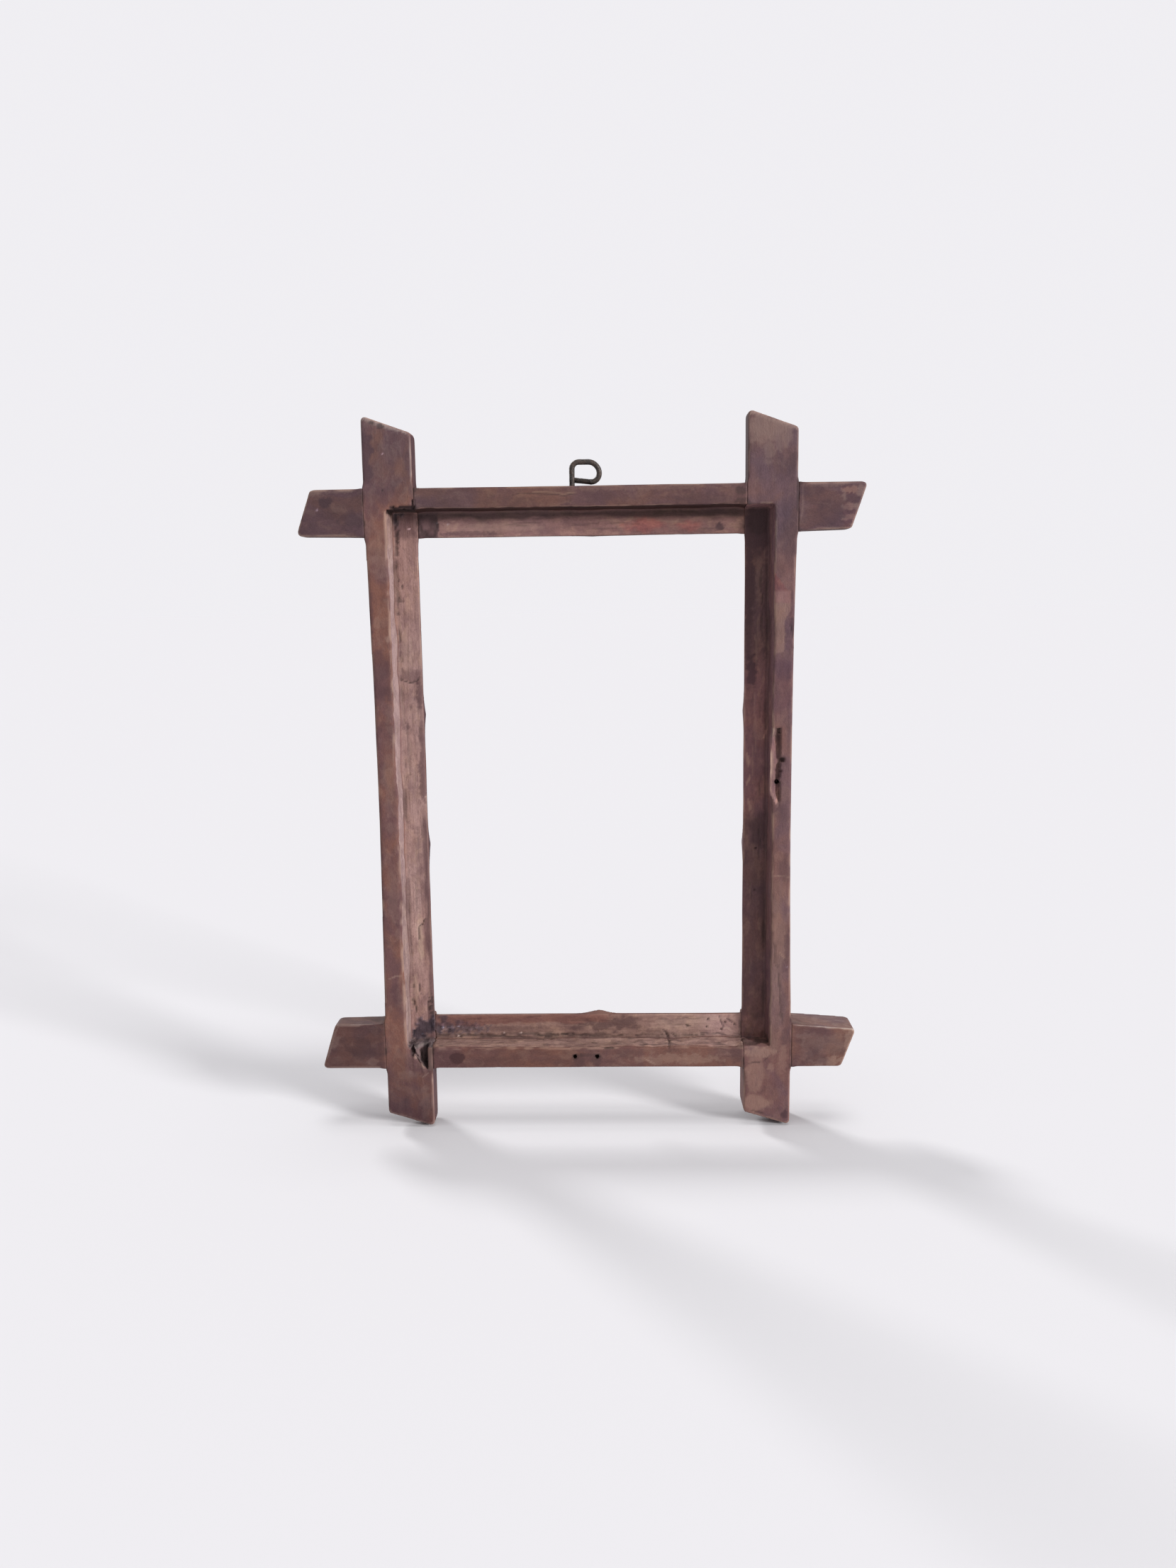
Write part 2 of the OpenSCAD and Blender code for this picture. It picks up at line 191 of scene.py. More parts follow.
class Bar:
    """A bar while it is being worn: its points, which way they face, and the marks on them."""

    def __init__(self, node_name, piece_name, grain_axis, seed):
        self.piece = even_skin(node_name, piece_name, SKIN_STEP)
        self.mesh = self.piece.data
        self.seed = seed
        self.grain = grain_axis
        self.points = read_points(self.mesh.vertices, "co") * MM
        edges = np.zeros(len(self.mesh.edges) * 2, np.int32)
        self.mesh.edges.foreach_get("vertices", edges)
        self.edges = edges.reshape(-1, 2)
        self.facing = read_points(self.mesh.vertex_normals, "vector")
        self.soft = relaxed(self.points, self.edges, 9)
        bulge = ((self.points - self.soft) * self.facing).sum(1)
        bulge = relaxed(bulge[:, None], self.edges, 2)[:, 0]
        self.arris = between(bulge, 0.03, 0.2)
        self.corner = between(-bulge, 0.03, 0.2)
        self.marks = {name: np.zeros(len(self.points)) for name in MARKS}
        self.cast = np.ones((len(self.points), 3))
        self.loose = {}
        x, y, z = self.points.T
        self.back = between(-self.facing[:, 1], 0.5, 0.9) * (y < BACK_Y + 1)
        self.floor = between(-self.facing[:, 1], 0.5, 0.9) * (abs(y - FLOOR_Y) < 0.9)
        inside = (abs(x) < WALL_X + 1) & (z > WALL_LOW - 1) & (z < WALL_HIGH + 1)
        to_side = abs(abs(x) - WALL_X)
        to_end = np.minimum(abs(z - WALL_LOW), abs(z - WALL_HIGH))
        self.lip = between(1.6 - np.minimum(to_side, to_end), 0, 0.8) * inside * (y < BACK_Y + 1.4)
        hollow = (y > BACK_Y + 0.7) & (y < FLOOR_Y - 0.4) & inside
        self.wall = hollow * (np.minimum(to_side, to_end) < 1.2)
        to_joint = np.minimum(abs(abs(x) - SIGHT_X), abs(abs(x) - SIDE_X))
        outside = np.minimum(abs(z - (SIGHT_HIGH + RAIL_HIGH) / 2) - (RAIL_HIGH - SIGHT_HIGH) / 2,
                             abs(z - (SIGHT_LOW + RAIL_LOW) / 2) - (SIGHT_LOW - RAIL_LOW) / 2)
        self.joint = fade(to_joint, 0.5, 2.5) * fade(outside, 0, 2.5) * (y < FLOOR_Y + 1)

    def stretched(self, across, along):
        """A lump's size in mm, along the grain and across it."""
        size = [across, across, across]
        size[self.grain] = along
        return size

    def lumps(self, size, order):
        """Random lumps on this bar, from -1 to 1."""
        return noise(self.points, size, self.seed + order)

    def patchy(self, size, order, low, high):
        """Random patches, 0 where the lumps lie below low and 1 where they lie above high."""
        return between(self.lumps(size, order), low, high)

    def cut(self, depth):
        """Takes wood off along the way each point faces, in mm."""
        self.points -= self.facing * np.clip(depth, 0, None)[:, None]

    def carve(self, depth, level=BACK_Y):
        """Lowers whatever stands above a hollow's surface to it, where the depth in mm is over zero."""
        x, y, z = self.points.T
        deeper = (depth > 0.02) & (y < level + depth) & (y > level - 1.2)
        self.points[:, 1] = np.where(deeper, level + depth, y)

    def mark(self, kind, where, amount=1.0):
        """Puts pale wood, stain, dirt and painted shade, or raw wood where a mask says."""
        self.marks[kind] = np.maximum(self.marks[kind], np.clip(where, 0, 1) * amount)

    def tint(self, where, colour):
        """Turns the colour under a mask towards a multiple of itself."""
        share = np.clip(where, 0, 1)[:, None]
        self.cast *= 1 + share * (np.array(colour) - 1)

    def tints(self, face, rows):
        """Turns the colour of one face in several places, each with its mask."""
        for where, colour in rows:
            self.tint(face * where, colour)

    def close_joints(self):
        """Fills the halved shoulders out, so that each joint closes to a fine, uneven line."""
        x, y, z = self.points.T
        if self.grain == 0:
            axis, reach, cheek = 0, abs(x), y < FLOOR_Y + 1.2
            planes = ((SIGHT_X, -1), (SIDE_X, 1))
        else:
            axis, reach, cheek = 2, z.copy(), y > FLOOR_Y + 0.8
            planes = ((SIGHT_LOW, 1), (RAIL_LOW, -1), (SIGHT_HIGH, -1), (RAIL_HIGH, 1))
        slack = 0.015 + 0.07 * self.patchy(1.5, 12, -0.1, 0.8)
        for plane, side in planes:
            away = (reach - plane) * side
            near = cheek & (away > -0.02) & (away < 2.5 * JOINT_GAP)
            if self.grain == 2:
                near &= (abs(x) > SIGHT_X - 1) & (self.facing[:, 1] < 0.97)
            reach = np.where(near, plane + side * slack, reach)
        self.points[:, axis] = np.sign(x) * reach if self.grain == 0 else reach

    def ease_stops(self):
        """Runs each chamfer out in a slope at the crossings, where its stop has been rubbed down."""
        x, y, z = self.points.T
        slope = CHAMFER_WIDTH / CHAMFER_DEPTH
        for plane, side in ((SIGHT_LOW, 1), (SIGHT_HIGH, -1)):
            above = (z - plane) * side + slope * (y - FRONT_Y + CHAMFER_DEPTH)
            stub = ((abs(x) > SIGHT_X - 3) & (y > FRONT_Y - CHAMFER_DEPTH) & (above > 0.05)
                    & (abs(z - plane) < 4))
            eased = 0.9 * fade(abs(x), SIGHT_X - 0.4, SIGHT_X + 0.2)
            self.points[:, 2] -= np.where(stub, side * eased * above, 0)

    def waver(self, amount):
        """Makes the hand-cut wall of the rebate wander a little from its straight line."""
        x, y, z = self.points.T
        if self.grain == 2:
            axis, away = 0, abs(abs(x) - WALL_X)
        else:
            axis, away = 2, np.minimum(abs(z - WALL_LOW), abs(z - WALL_HIGH))
        inside = (abs(x) < WALL_X + 2) & (z > WALL_LOW - 2) & (z < WALL_HIGH + 2)
        share = (fade(away, 0.7, 1.8) * fade(y, FLOOR_Y + 0.2, FLOOR_Y + 1) * inside * (1 - self.joint))
        sway = self.lumps(self.stretched(2.4, 8), 17) + 0.35 * self.lumps(self.stretched(0.9, 2.2), 18)
        self.points[:, axis] += amount * share * sway

    def wear(self, tattered, crisp_lip=0.3):
        """Rounds the arrises unevenly, less at the joints, and gives the planed faces their ripple."""
        p = self.points.copy()
        rub = 0.25 + 0.75 * self.patchy(7, 0, -0.4, 0.6)
        worn_lip = np.where(self.lip > 0.1, crisp_lip, 1.0)
        loose = self.arris * (1 - self.joint)
        calm = relaxed(p, self.edges, 5)
        self.points = p + (calm - p) * loose[:, None]
        self.points += (self.soft - self.points) * (loose * rub * worn_lip)[:, None]
        self.close_joints()
        if self.grain == 0:
            self.ease_stops()
        still = 1 - 0.85 * self.joint
        ripple = 0.05 * (1 + self.lumps(self.stretched(7, 26), 1))
        fibre = 0.015 * (1 + self.lumps(self.stretched(0.9, 7), 2))
        rough = 0.04 * (1 + self.lumps(self.stretched(1.6, 7), 6)) * np.clip(self.floor + self.wall, 0, 1)
        side_face = between(abs(self.facing[:, 2 - self.grain]), 0.6, 0.9)
        sway = 0.07 * (1 + self.lumps(13, 15)) * side_face
        dents = 0.2 * self.patchy(3, 3, 0.6, 0.95) * self.arris
        ragged = tattered * self.patchy(self.stretched(0.9, 2.6), 5, 0.15, 0.9) * self.lip
        low_corner = self.corner * (p[:, 1] < FLOOR_Y + 1) * (p[:, 1] > BACK_Y + 2)
        split = self.patchy(self.stretched(0.9, 9), 7, -0.4, 0.6)
        self.cut((ripple + fibre + rough + sway + dents + ragged + 0.2 * split * low_corner) * still)
        broken = self.patchy(self.stretched(1.2, 4), 4, -0.3, 0.4)
        self.mark("pale", between(self.arris, 0.5, 0.95) * broken * (1 - self.joint), 0.75)
        self.mark("pale", self.lip * between(ragged, 0.05, 0.4), 0.7)
        tip = between(abs(p[:, 0]), 66, 68) if self.grain == 0 else between(abs(p[:, 2] - MIDDLE_Z), 92, 94)
        handled = (tip * between(self.arris, 0.25, 0.7) * self.patchy(3, 16, -0.7, 0.2)
                   * (p[:, 1] < BACK_Y + 2))
        self.mark("pale", handled, 0.85)
        self.tint(handled, (1.15, 1.15, 1.15))
        self.mark("grime", low_corner * split, 0.5)
        self.mark("grime", self.joint * between(self.arris, 0.2, 0.8) * self.patchy(2, 9, -0.4, 0.5), 0.65)

    def crumbs(self, where, height, size, order):
        """Raises crumbly dirt or torn fibres."""
        lump = np.clip(self.lumps(size, order), -0.3, 1) + 0.3
        self.points += self.facing * (height * lump * np.clip(where, 0, 1))[:, None]
        return lump

    def dirty(self, where, height, order):
        """Dark crumbly dirt, with paler crumbs standing out of it."""
        lump = self.crumbs(where, height, (0.9, 0.9, 0.9), order)
        self.mark("grime", where, 0.95)
        self.tint(where, DIRT_TINT)
        self.tint(where * between(lump + 0.5 * self.lumps(0.4, order + 1), 0.6, 1.1), CRUMB_TINT)

    def chip(self, start, end, width, depth):
        """A leaf-shaped chip carved out of the front face, between two places (x, z)."""
        away, along = near_line(self.points, start, end)
        half = np.maximum(0.5 * width * np.sin(np.pi * along), 0.01)
        y = self.points[:, 1]
        hollow = depth * np.clip(1 - away / half, 0, 1) * (y > FRONT_Y - 1)
        y[:] = np.where(hollow > 0.02, np.minimum(y, FRONT_Y - hollow), y)
        # Darker towards the bottom of each chip, and paler at its rim.
        self.mark("grime", between(hollow / depth, 0.3, 0.9), 0.55)
        self.mark("pale", (hollow > 0.01) * fade(hollow / depth, 0.05, 0.25), 0.4)

    def rosette(self, centre):
        """Four leaves about a small eye, the chip carving at a crossing."""
        x, z = centre
        for across, up in ((1, 0), (-1, 0), (0, 1), (0, -1)):
            self.chip((x + 0.9 * across, z + 0.9 * up), (x + 5.6 * across, z + 5.6 * up), 2.8, 0.8)
        for across, up in ((1, 1), (-1, 1), (-1, -1), (1, -1)):
            self.chip((x + 1.6 * across, z + 1.6 * up), (x + 3.2 * across, z + 3.2 * up), 0.9, 0.35)
        self.chip((x - 0.5, z), (x + 0.5, z), 1.0, 0.4)

    def distance(self, centre):
        """How far each point lies from a place (x, z), in mm."""
        return np.hypot(self.points[:, 0] - centre[0], self.points[:, 2] - centre[1])

    def speck(self, centre, radius=0.3, light=3.0):
        """A spot of plaster or paint."""
        away = self.distance(centre)
        spot = fade(away, radius * 0.6, radius * 1.5) * (self.facing[:, 1] < -0.3)
        self.tint(spot, (light, light * 1.25, light * 1.35))

    def hairlines(self, count, low, high, face, kind, amount, order, length=14.0, width=0.35):
        """Fine cracks and streaks along the grain, placed at random between two corners (x, z)."""
        draw = np.random.default_rng(self.seed + order)
        for _ in range(count):
            start = draw.uniform(low, high)
            run = length * draw.uniform(0.3, 1.0)
            lean = draw.uniform(-0.03, 0.03) * run
            end = start + ((run, lean) if self.grain == 0 else (lean, run))
            self.stroke(start, end, width * draw.uniform(0.6, 1.4), kind, face, amount, 0.12, 0.35,
                        order + 40)

    def stain(self, face, spots, soft=0.3, ragged=0.45):
        """Patches of colour by kind: each has a place x and z, a reach across and up, and a strength."""
        spots = [(kind, *spot) for kind, *group in spots for spot in group]
        for order, (kind, x, z, across, up, amount) in enumerate(spots):
            patch = blot(self.points, (x, z), (across, up), soft, self.seed + 90 + order, ragged)
            self.mark(kind, face * patch, amount)

    def pit(self, centre, radius, depth, face, level=BACK_Y, dirt=0.9):
        """A worm hole, nick or dent."""
        away = self.distance(centre)
        bowl = fade(away, radius * 0.55, radius * 1.1)
        self.carve(depth * bowl * (face > 0.1), level)
        self.mark("grime", bowl * (face > 0.1), dirt)

    def choke(self, centre, radius, share, rim=BACK_Y, clogged=0.72):
        """Draws a nail hole's mouth in unevenly, as fibres close round it, and clogs it with dirt."""
        away = self.distance(centre)
        y = self.points[:, 1]
        near = fade(away, radius, 2.2 * radius) * (y < FLOOR_Y - 2)
        pull = 1 - share * near * (1 + 0.5 * self.lumps(0.9, 14))
        for axis, middle in zip((0, 2), centre):
            self.points[:, axis] = middle + (self.points[:, axis] - middle) * pull
        below = y - rim - 0.15
        y -= np.where((away < radius + 0.1) & (below > 0), clogged * below, 0)
        self.mark("grime", near * (away < 1.5 * radius), 0.75)

    def wandering(self, amount, order):
        """The points pushed about a little sideways, so that a straight line drawn on them wanders."""
        if (amount, order) not in self.loose:
            loose = self.points.copy()
            loose[:, 0] += amount * self.lumps(2.5, order)
            loose[:, 2] += amount * self.lumps(2.5, order + 1)
            self.loose[amount, order] = loose
        return self.loose[amount, order]

    def stroke(self, start, end, width, kind, face, amount=0.8, depth=0.0, wander=0.5, order=20):
        """A scratch, crack or streak from one place to another."""
        away, along = near_line(self.wandering(wander, order), start, end)
        taper = np.clip(4 * along * (1 - along), 0.15, 1)
        line = fade(away, 0.3 * width * taper, 0.5 * width * taper + 0.15) * (face > 0.3)
        self.cut(depth * line)
        self.mark(kind, line, amount)

    def strokes(self, face, rows):
        """Several strokes on one face."""
        for start, end, width, kind, *rest in rows:
            self.stroke(start, end, width, kind, face, *rest)

    def finish(self, material):
        """Writes the worn points, kept inside the solids' box, the marks and the cast to the piece."""
        low = np.array(cad_low) * MM
        high = np.array(cad_high) * MM
        write_points(self.mesh, np.clip(self.points, low, high))
        layer = self.mesh.attributes.new("marks", "FLOAT_COLOR", "POINT")
        values = np.stack([np.clip(self.marks[name], 0, 1) for name in MARKS], 1)
        layer.data.foreach_set("color", values.astype(np.float32).ravel())
        layer = self.mesh.attributes.new("cast", "FLOAT_COLOR", "POINT")
        values = np.concatenate([self.cast * AGED_TINT, np.ones((len(self.cast), 1))], 1)
        layer.data.foreach_set("color", values.astype(np.float32).ravel())
        dress(self.piece, material)
        return self.piece


def plug(tree, value, socket):
    """Feeds a socket from another node, or sets it to a plain value."""
    if isinstance(value, bpy.types.NodeSocket):
        tree.links.new(value, socket)
    elif value is not None:
        socket.default_value = value


def put(tree, kind, settings=(), **inputs):
    """A new shader node with its settings, its values and what feeds it."""
    made = tree.nodes.new(kind)
    for name, value in dict(settings).items():
        setattr(made, name, value)
    for name, value in inputs.items():
        plug(tree, value, made.inputs[name.replace("_", " ")])
    return made


def mixed(tree, share, first, second, way="MIX"):
    """Two colours mixed by a share."""
    made = tree.nodes.new("ShaderNodeMix")
    made.data_type = "RGBA"
    made.blend_type = way
    for number, value in ((0, share), (6, first), (7, second)):
        plug(tree, value, made.inputs[number])
    return made.outputs[2]


def worked(tree, way, first, second, third=None):
    """One step of arithmetic on two or three values."""
    made = tree.nodes.new("ShaderNodeMath")
    made.operation = way
    for socket, value in zip(made.inputs, (first, second, third)):
        plug(tree, value, socket)
    return made.outputs[0]


def cloud(tree, place, lump, low, high, detail=3.0, twist=0.0):
    """A soft random mask with lumps of the given size in mm, 0 below low and 1 above high."""
    scaled = put(tree, "ShaderNodeVectorMath", {"operation": "DIVIDE"})
    plug(tree, place, scaled.inputs[0])
    plug(tree, lump, scaled.inputs[1])
    grown = put(tree, "ShaderNodeTexNoise", Vector=scaled.outputs[0], Scale=1.0, Detail=detail,
                Distortion=twist)
    ramp = put(tree, "ShaderNodeMapRange", {"interpolation_type": "SMOOTHSTEP"}, Value=grown.outputs["Fac"])
    plug(tree, low, ramp.inputs["From Min"])
    plug(tree, high, ramp.inputs["From Max"])
    return ramp.outputs[0]


def new_group(name, takes, gives):
    """An empty node group, with the names of what it takes and gives, by kind."""
    tree = bpy.data.node_groups.new(name, "ShaderNodeTree")
    for way, kinds in (("INPUT", takes), ("OUTPUT", gives)):
        for kind, labels in kinds.items():
            for label in labels:
                tree.interface.new_socket(label, in_out=way, socket_type="NodeSocket" + kind)
    return tree, put(tree, "NodeGroupInput").outputs, put(tree, "NodeGroupOutput").inputs


def layered(tree, colour, layers):
    """A colour under layers of others, each with its mask, its strength and its way of mixing."""
    for mask, strength, layer, *way in layers:
        colour = mixed(tree, worked(tree, "MULTIPLY", mask, strength), colour, layer, *way)
    return colour


def piled(tree, value, layers):
    """A value with a share of each mask added to it."""
    for mask, share in layers:
        value = worked(tree, "MULTIPLY_ADD", mask, share, value)
    return value


# Stained wood seen close: blotches where the stain took unevenly, growth rings, streaks and open pores
# along the grain, worn arrises, dirt and painted shade in the corners and unstained wood where the rebate
# was cut.
PITH = (21, 34, 0)
TAN = (0.42, 0.255, 0.165, 1)
FIBRE_SHADE = (0.55, 0.5, 0.48, 1)
GRAIN_SHADE = (0.5, 0.45, 0.45, 1)
GRIT_SHADE = (0.5, 0.47, 0.46, 1)
PORE_BROWN = (0.03, 0.018, 0.016, 1)
DIRT_AND_SHADE = (0.035, 0.022, 0.02, 1)
DULL = 0.66
WOOD_GLOSS = 0.2
WOOD_RELIEF = 0.00012
BLOTCHES = 0.34
stained, take, give = new_group(
    "stained wood",
    {"Vector": ["Place"], "Float": ["Unstained share", "Blotches"],
     "Color": ["Stain", "Deep stain", "Mauve cast", "Worn wood", "Unstained", "Marks", "Cast"]},
    {"Color": ["Colour"], "Float": ["Roughness", "Height"]})
mark = put(stained, "ShaderNodeSeparateColor", Color=take["Marks"]).outputs
place = take["Place"]
mauve = cloud(stained, place, (9, 9, 14), 0.38, 0.62, 6.0, 0.6)
deep = cloud(stained, place, (5, 5, 8), 0.48, 0.66, 6.0, 0.5)
smear = cloud(stained, place, (2.6, 2.6, 4.2), 0.46, 0.68, 6.0, 0.7)
freckle = cloud(stained, place, (1.1, 1.1, 1.7), 0.5, 0.72, 4.0, 0.5)
streak = cloud(stained, place, (0.8, 0.8, 10), 0.4, 0.68, 4.0)
fine = cloud(stained, place, (0.35, 0.35, 3.0), 0.42, 0.7, 3.0)
grit = cloud(stained, place, (0.45, 0.45, 0.6), 0.35, 0.65, 3.0)
pore = cloud(stained, place, (0.16, 0.16, 1.8), 0.66, 0.72, 1.0)
patch = cloud(stained, place, (4.2, 4.2, 6.5), 0.5, 0.535, 7.0, 1.0)
pith = put(stained, "ShaderNodeVectorMath", {"operation": "ADD"})
plug(stained, place, pith.inputs[0])
plug(stained, PITH, pith.inputs[1])
rings = put(stained, "ShaderNodeTexWave", {"wave_type": "RINGS", "rings_direction": "Z"},
            Vector=pith.outputs[0], Scale=0.09, Distortion=2.5, Detail=2.0, Detail_Scale=0.25)
colour = layered(stained, take["Stain"], (
    (mauve, 0.8, take["Mauve cast"]),
    (patch, 0.13, take["Deep stain"]),
    (deep, take["Blotches"], take["Deep stain"]),
    (smear, 0.16, take["Worn wood"]),
    (freckle, 0.15, take["Deep stain"])))
rough_wood = layered(stained, take["Unstained"], (
    (smear, 0.3, TAN),
    (streak, 0.12, take["Stain"]),
    (deep, 0.35, take["Mauve cast"]),
    (patch, 0.22, take["Mauve cast"]),
    (freckle, 0.22, take["Deep stain"]),
    (fine, 0.06, FIBRE_SHADE, "MULTIPLY")))
colour = mixed(stained, take["Unstained share"], colour, rough_wood)
colour = layered(stained, colour, (
    (rings.outputs["Fac"], 0.07, GRAIN_SHADE, "MULTIPLY"),
    (streak, 0.08, GRAIN_SHADE, "MULTIPLY"),
    (fine, 0.03, GRAIN_SHADE, "MULTIPLY"),
    (grit, 0.2, GRIT_SHADE, "MULTIPLY"),
    (pore, 0.12, PORE_BROWN)))
patchy = worked(stained, "MULTIPLY", mark["Red"], worked(stained, "MULTIPLY_ADD", fine, 0.3, 0.7))
colour = mixed(stained, patchy, colour, take["Worn wood"])
colour = mixed(stained, mark["Green"], colour, take["Deep stain"])
# The blue mark darkens towards a near-black brown: dirt in most places, painted shade in others.
dirt = worked(stained, "MULTIPLY", mark["Blue"], worked(stained, "MULTIPLY_ADD", smear, 0.2, 0.85))
colour = mixed(stained, dirt, colour, DIRT_AND_SHADE)
colour = mixed(stained, 1.0, colour, take["Cast"], "MULTIPLY")
plug(stained, colour, give["Colour"])
rough = piled(stained, DULL, ((smear, 0.1), (take["Unstained share"], 0.12), (dirt, 0.12)))
plug(stained, rough, give["Roughness"])
raised = worked(stained, "MULTIPLY", streak, take["Unstained share"])
height = piled(stained, worked(stained, "MULTIPLY", fine, -0.12), (
    (pore, -0.4), (grit, -0.25), (smear, 0.5), (freckle, -0.4), (raised, -1.0)))
plug(stained, height, give["Height"])


def new_material(name):
    """A material with an empty tree, and the place on the piece in mm."""
    made = bpy.data.materials.new(name)
    made.use_nodes = True
    tree = made.node_tree
    tree.nodes.clear()
    at = put(tree, "ShaderNodeTexCoord").outputs["Object"]
    at = put(tree, "ShaderNodeVectorMath", {"operation": "SCALE"}, Vector=at, Scale=MM).outputs[0]
    return made, tree, at


def coated(tree, surface, strength, depth, **more):
    """A material's own shader, fed by its node group, with the group's height as fine relief."""
    relief = put(tree, "ShaderNodeBump", Height=surface["Height"], Strength=strength, Distance=depth)
    body = put(tree, "ShaderNodeBsdfPrincipled", Base_Color=surface["Colour"],
               Roughness=surface["Roughness"], Normal=relief.outputs[0], **more)
    put(tree, "ShaderNodeOutputMaterial", Surface=body.outputs[0])


def wood(name, grain_axis, **colours):
    """The bar's own stained wood, with the grain along one axis of the frame."""
    made, tree, at = new_material(name)
    if grain_axis == 0:
        split = put(tree, "ShaderNodeSeparateXYZ", Vector=at).outputs
        at = put(tree, "ShaderNodeCombineXYZ", X=split["Z"], Y=split["Y"], Z=split["X"]).outputs[0]
    marks = put(tree, "ShaderNodeAttribute", {"attribute_name": "marks"}).outputs
    cast = put(tree, "ShaderNodeAttribute", {"attribute_name": "cast"}).outputs
    colours = {label: (*colour, 1) for label, colour in colours.items()}
    surface = put(tree, "ShaderNodeGroup", {"node_tree": stained}, Place=at, Marks=marks["Color"],
                  Unstained_share=marks["Alpha"], Cast=cast["Color"], Blotches=BLOTCHES, **colours).outputs
    coated(tree, surface, 0.45, WOOD_RELIEF, Specular_IOR_Level=WOOD_GLOSS)
    return made


left = Bar("left_stile", "left_upright", 2, 11)
left.wear(0.28, 0.1)
left.waver(0.34)
p = left.points
back, floor, wall = left.back, left.floor, left.wall
x, y, z = p.T.copy()
left.tints(back, (
    (between(z, 190, 203), (0.78, 0.86, 0.98)),
    (fade(z, 14, 30), (0.71, 0.72, 0.77)),
    (blot(p, (-57, 206), (4, 6), 0.5, 30), (1.08, 1.04, 0.98)),
    (between(z, 196, 206), (0.92, 0.98, 1.02)),
    (fade(z, 180, 195), (0.92, 0.92, 0.95))))
left.stain(back, (
    ("dark", (-63.3, 209, 2.6, 7.5, 0.75), (-57.5, 197.5, 7, 2.6, 0.3), (-63.8, 164, 1.5, 8, 0.6),
            (-61.4, 147, 3.2, 4.6, 0.6), (-60, 139.6, 3.4, 2.4, 0.55), (-63, 128, 1.6, 9, 0.4),
            (-62.8, 95, 1.3, 9, 0.3), (-62.8, 64, 1.6, 6, 0.35), (-61.4, 43.6, 2.4, 4, 0.4),
            (-60.5, 9, 3, 4, 0.3)),
    ("pale", (-60.2, 181, 2.4, 7, 0.18), (-61.6, 160, 1, 2, 0.25), (-58.4, 155.3, 0.5, 1, 0.5),
            (-57.5, 151.6, 0.3, 1.6, 0.5), (-59.5, 112, 1.8, 9, 0.15), (-60, 76, 1.8, 7, 0.15),
            (-52, 8, 1.6, 5, 0.25), (-57, 17.5, 3, 1.5, 0.2))))
left.strokes(back, (
    ((-63.6, 219.7), (-53.2, 215.9), 1.3, "pale", 0.6, 0.0, 0.3),
    ((-62.3, 49.6), (-58.0, 50.5), 0.4, "pale", 0.5), ((-53.2, 16.6), (-50.5, 18.4), 0.5, "pale", 0.5),
    ((-63.4, 5.2), (-50.2, 0.8), 0.9, "pale", 0.6, 0.0, 0.2),
    ((-49.6, 1.2), (-49.5, 18), 0.8, "pale", 0.6, 0.0, 0.2)))
bark = blot(p, (-60.7, 218.3), (0.9, 0.6), 0.25, 32) + blot(p, (-58.3, 217.5), (1.1, 0.9), 0.25, 33)
bark = back * np.clip(bark, 0, 1)
left.carve(0.4 * bark)
left.mark("grime", bark, 0.6)
left.pit((-58.3, 198.9), 0.3, 0.3, back)
left.speck((-57.8, 209.5))
left.mark("raw", floor * (0.85 + 0.15 * left.lumps((2, 2, 9), 8)))
left.mark("raw", wall)
left.tint(wall, (1.0, 1.13, 1.22))
# Painted shade: the faces that look to the right, at the opening, are darkened.
left.tint(between(left.facing[:, 0], 0.8, 0.97) * (x > -51), (0.5, 0.46, 0.58))
left.tint(wall * between(z, 180, 186), (0.88, 0.82, 0.76))
# Painted shade: the top end of the wall, under the lip, is darkened; lower down the wall is only toned a
# little darker.
left.mark("grime", wall * between(z, 192.2, 192.8), 0.9)
left.tints(wall, (
    (between(z, 191.8, 192.6), (0.5, 0.45, 0.45)),
    (fade(z, 70, 90), (0.86, 0.85, 0.83))))
left.tint(back * fade(z, 4, 11), (0.76, 0.7, 0.74))
left.tints(floor, (
    (fade(x, -53, -51.6) * span(z, 46, 54, 80, 90), (1.2, 1.27, 1.27)),
    (span(z, 60, 90, 150, 175), (1.06, 1.12, 1.14))))
# The edge of the opening is darker than the rest of the floor, and more so below the middle.
sway = 0.9 * left.lumps((2.2, 2.2, 6), 9)
edge = floor * between(x, -51.5 + sway, -50.2 + sway)
edge *= (0.35 + 0.65 * fade(z, 132, 150))
left.mark("dark", edge * left.patchy((3, 3, 14), 10, -0.8, 0.1), 0.75)
left.stain(floor, (
    ("dark", (-50.4, 138, 1.4, 5, 0.8), (-50.2, 113, 1.4, 8, 0.7), (-53, 144, 2.8, 1.9, 0.5),
            (-54.6, 128.4, 0.8, 1.2, 0.5)),
    ("pale", (-53, 60.5, 1.0, 7, 0.7), (-55, 44, 0.8, 5, 0.6), (-54.2, 151, 1.5, 7, 0.3))))
left.hairlines(9, (-55.8, 40), (-50, 178), floor, "grime", 0.35, 60)
left.hairlines(8, (-55.8, 40), (-50, 178), floor, "pale", 0.4, 61)
# The dark, chewed top end of the rebate, with its lip crumbled away and the corner by the joint gone.
chewed = floor * blot(p, (-53, 191.6), (5.0, 6.6), 0.4, 70, 0.5)
left.mark("dark", chewed, 0.62)
crust = left.lumps((1.4, 1.4, 1.8), 71) + 0.4 * (z - 190.6) - 0.4 * (x + 54.6)
left.dirty(chewed * between(crust, -0.1, 0.8), 0.35, 72)
corner_dirt = floor * blot(p, (-55.9, 188), (0.9, 5.5), 0.3, 73, 0.6)
left.mark("grime", corner_dirt * left.patchy((0.6, 0.6, 0.8), 74, -0.3, 0.2), 0.9)
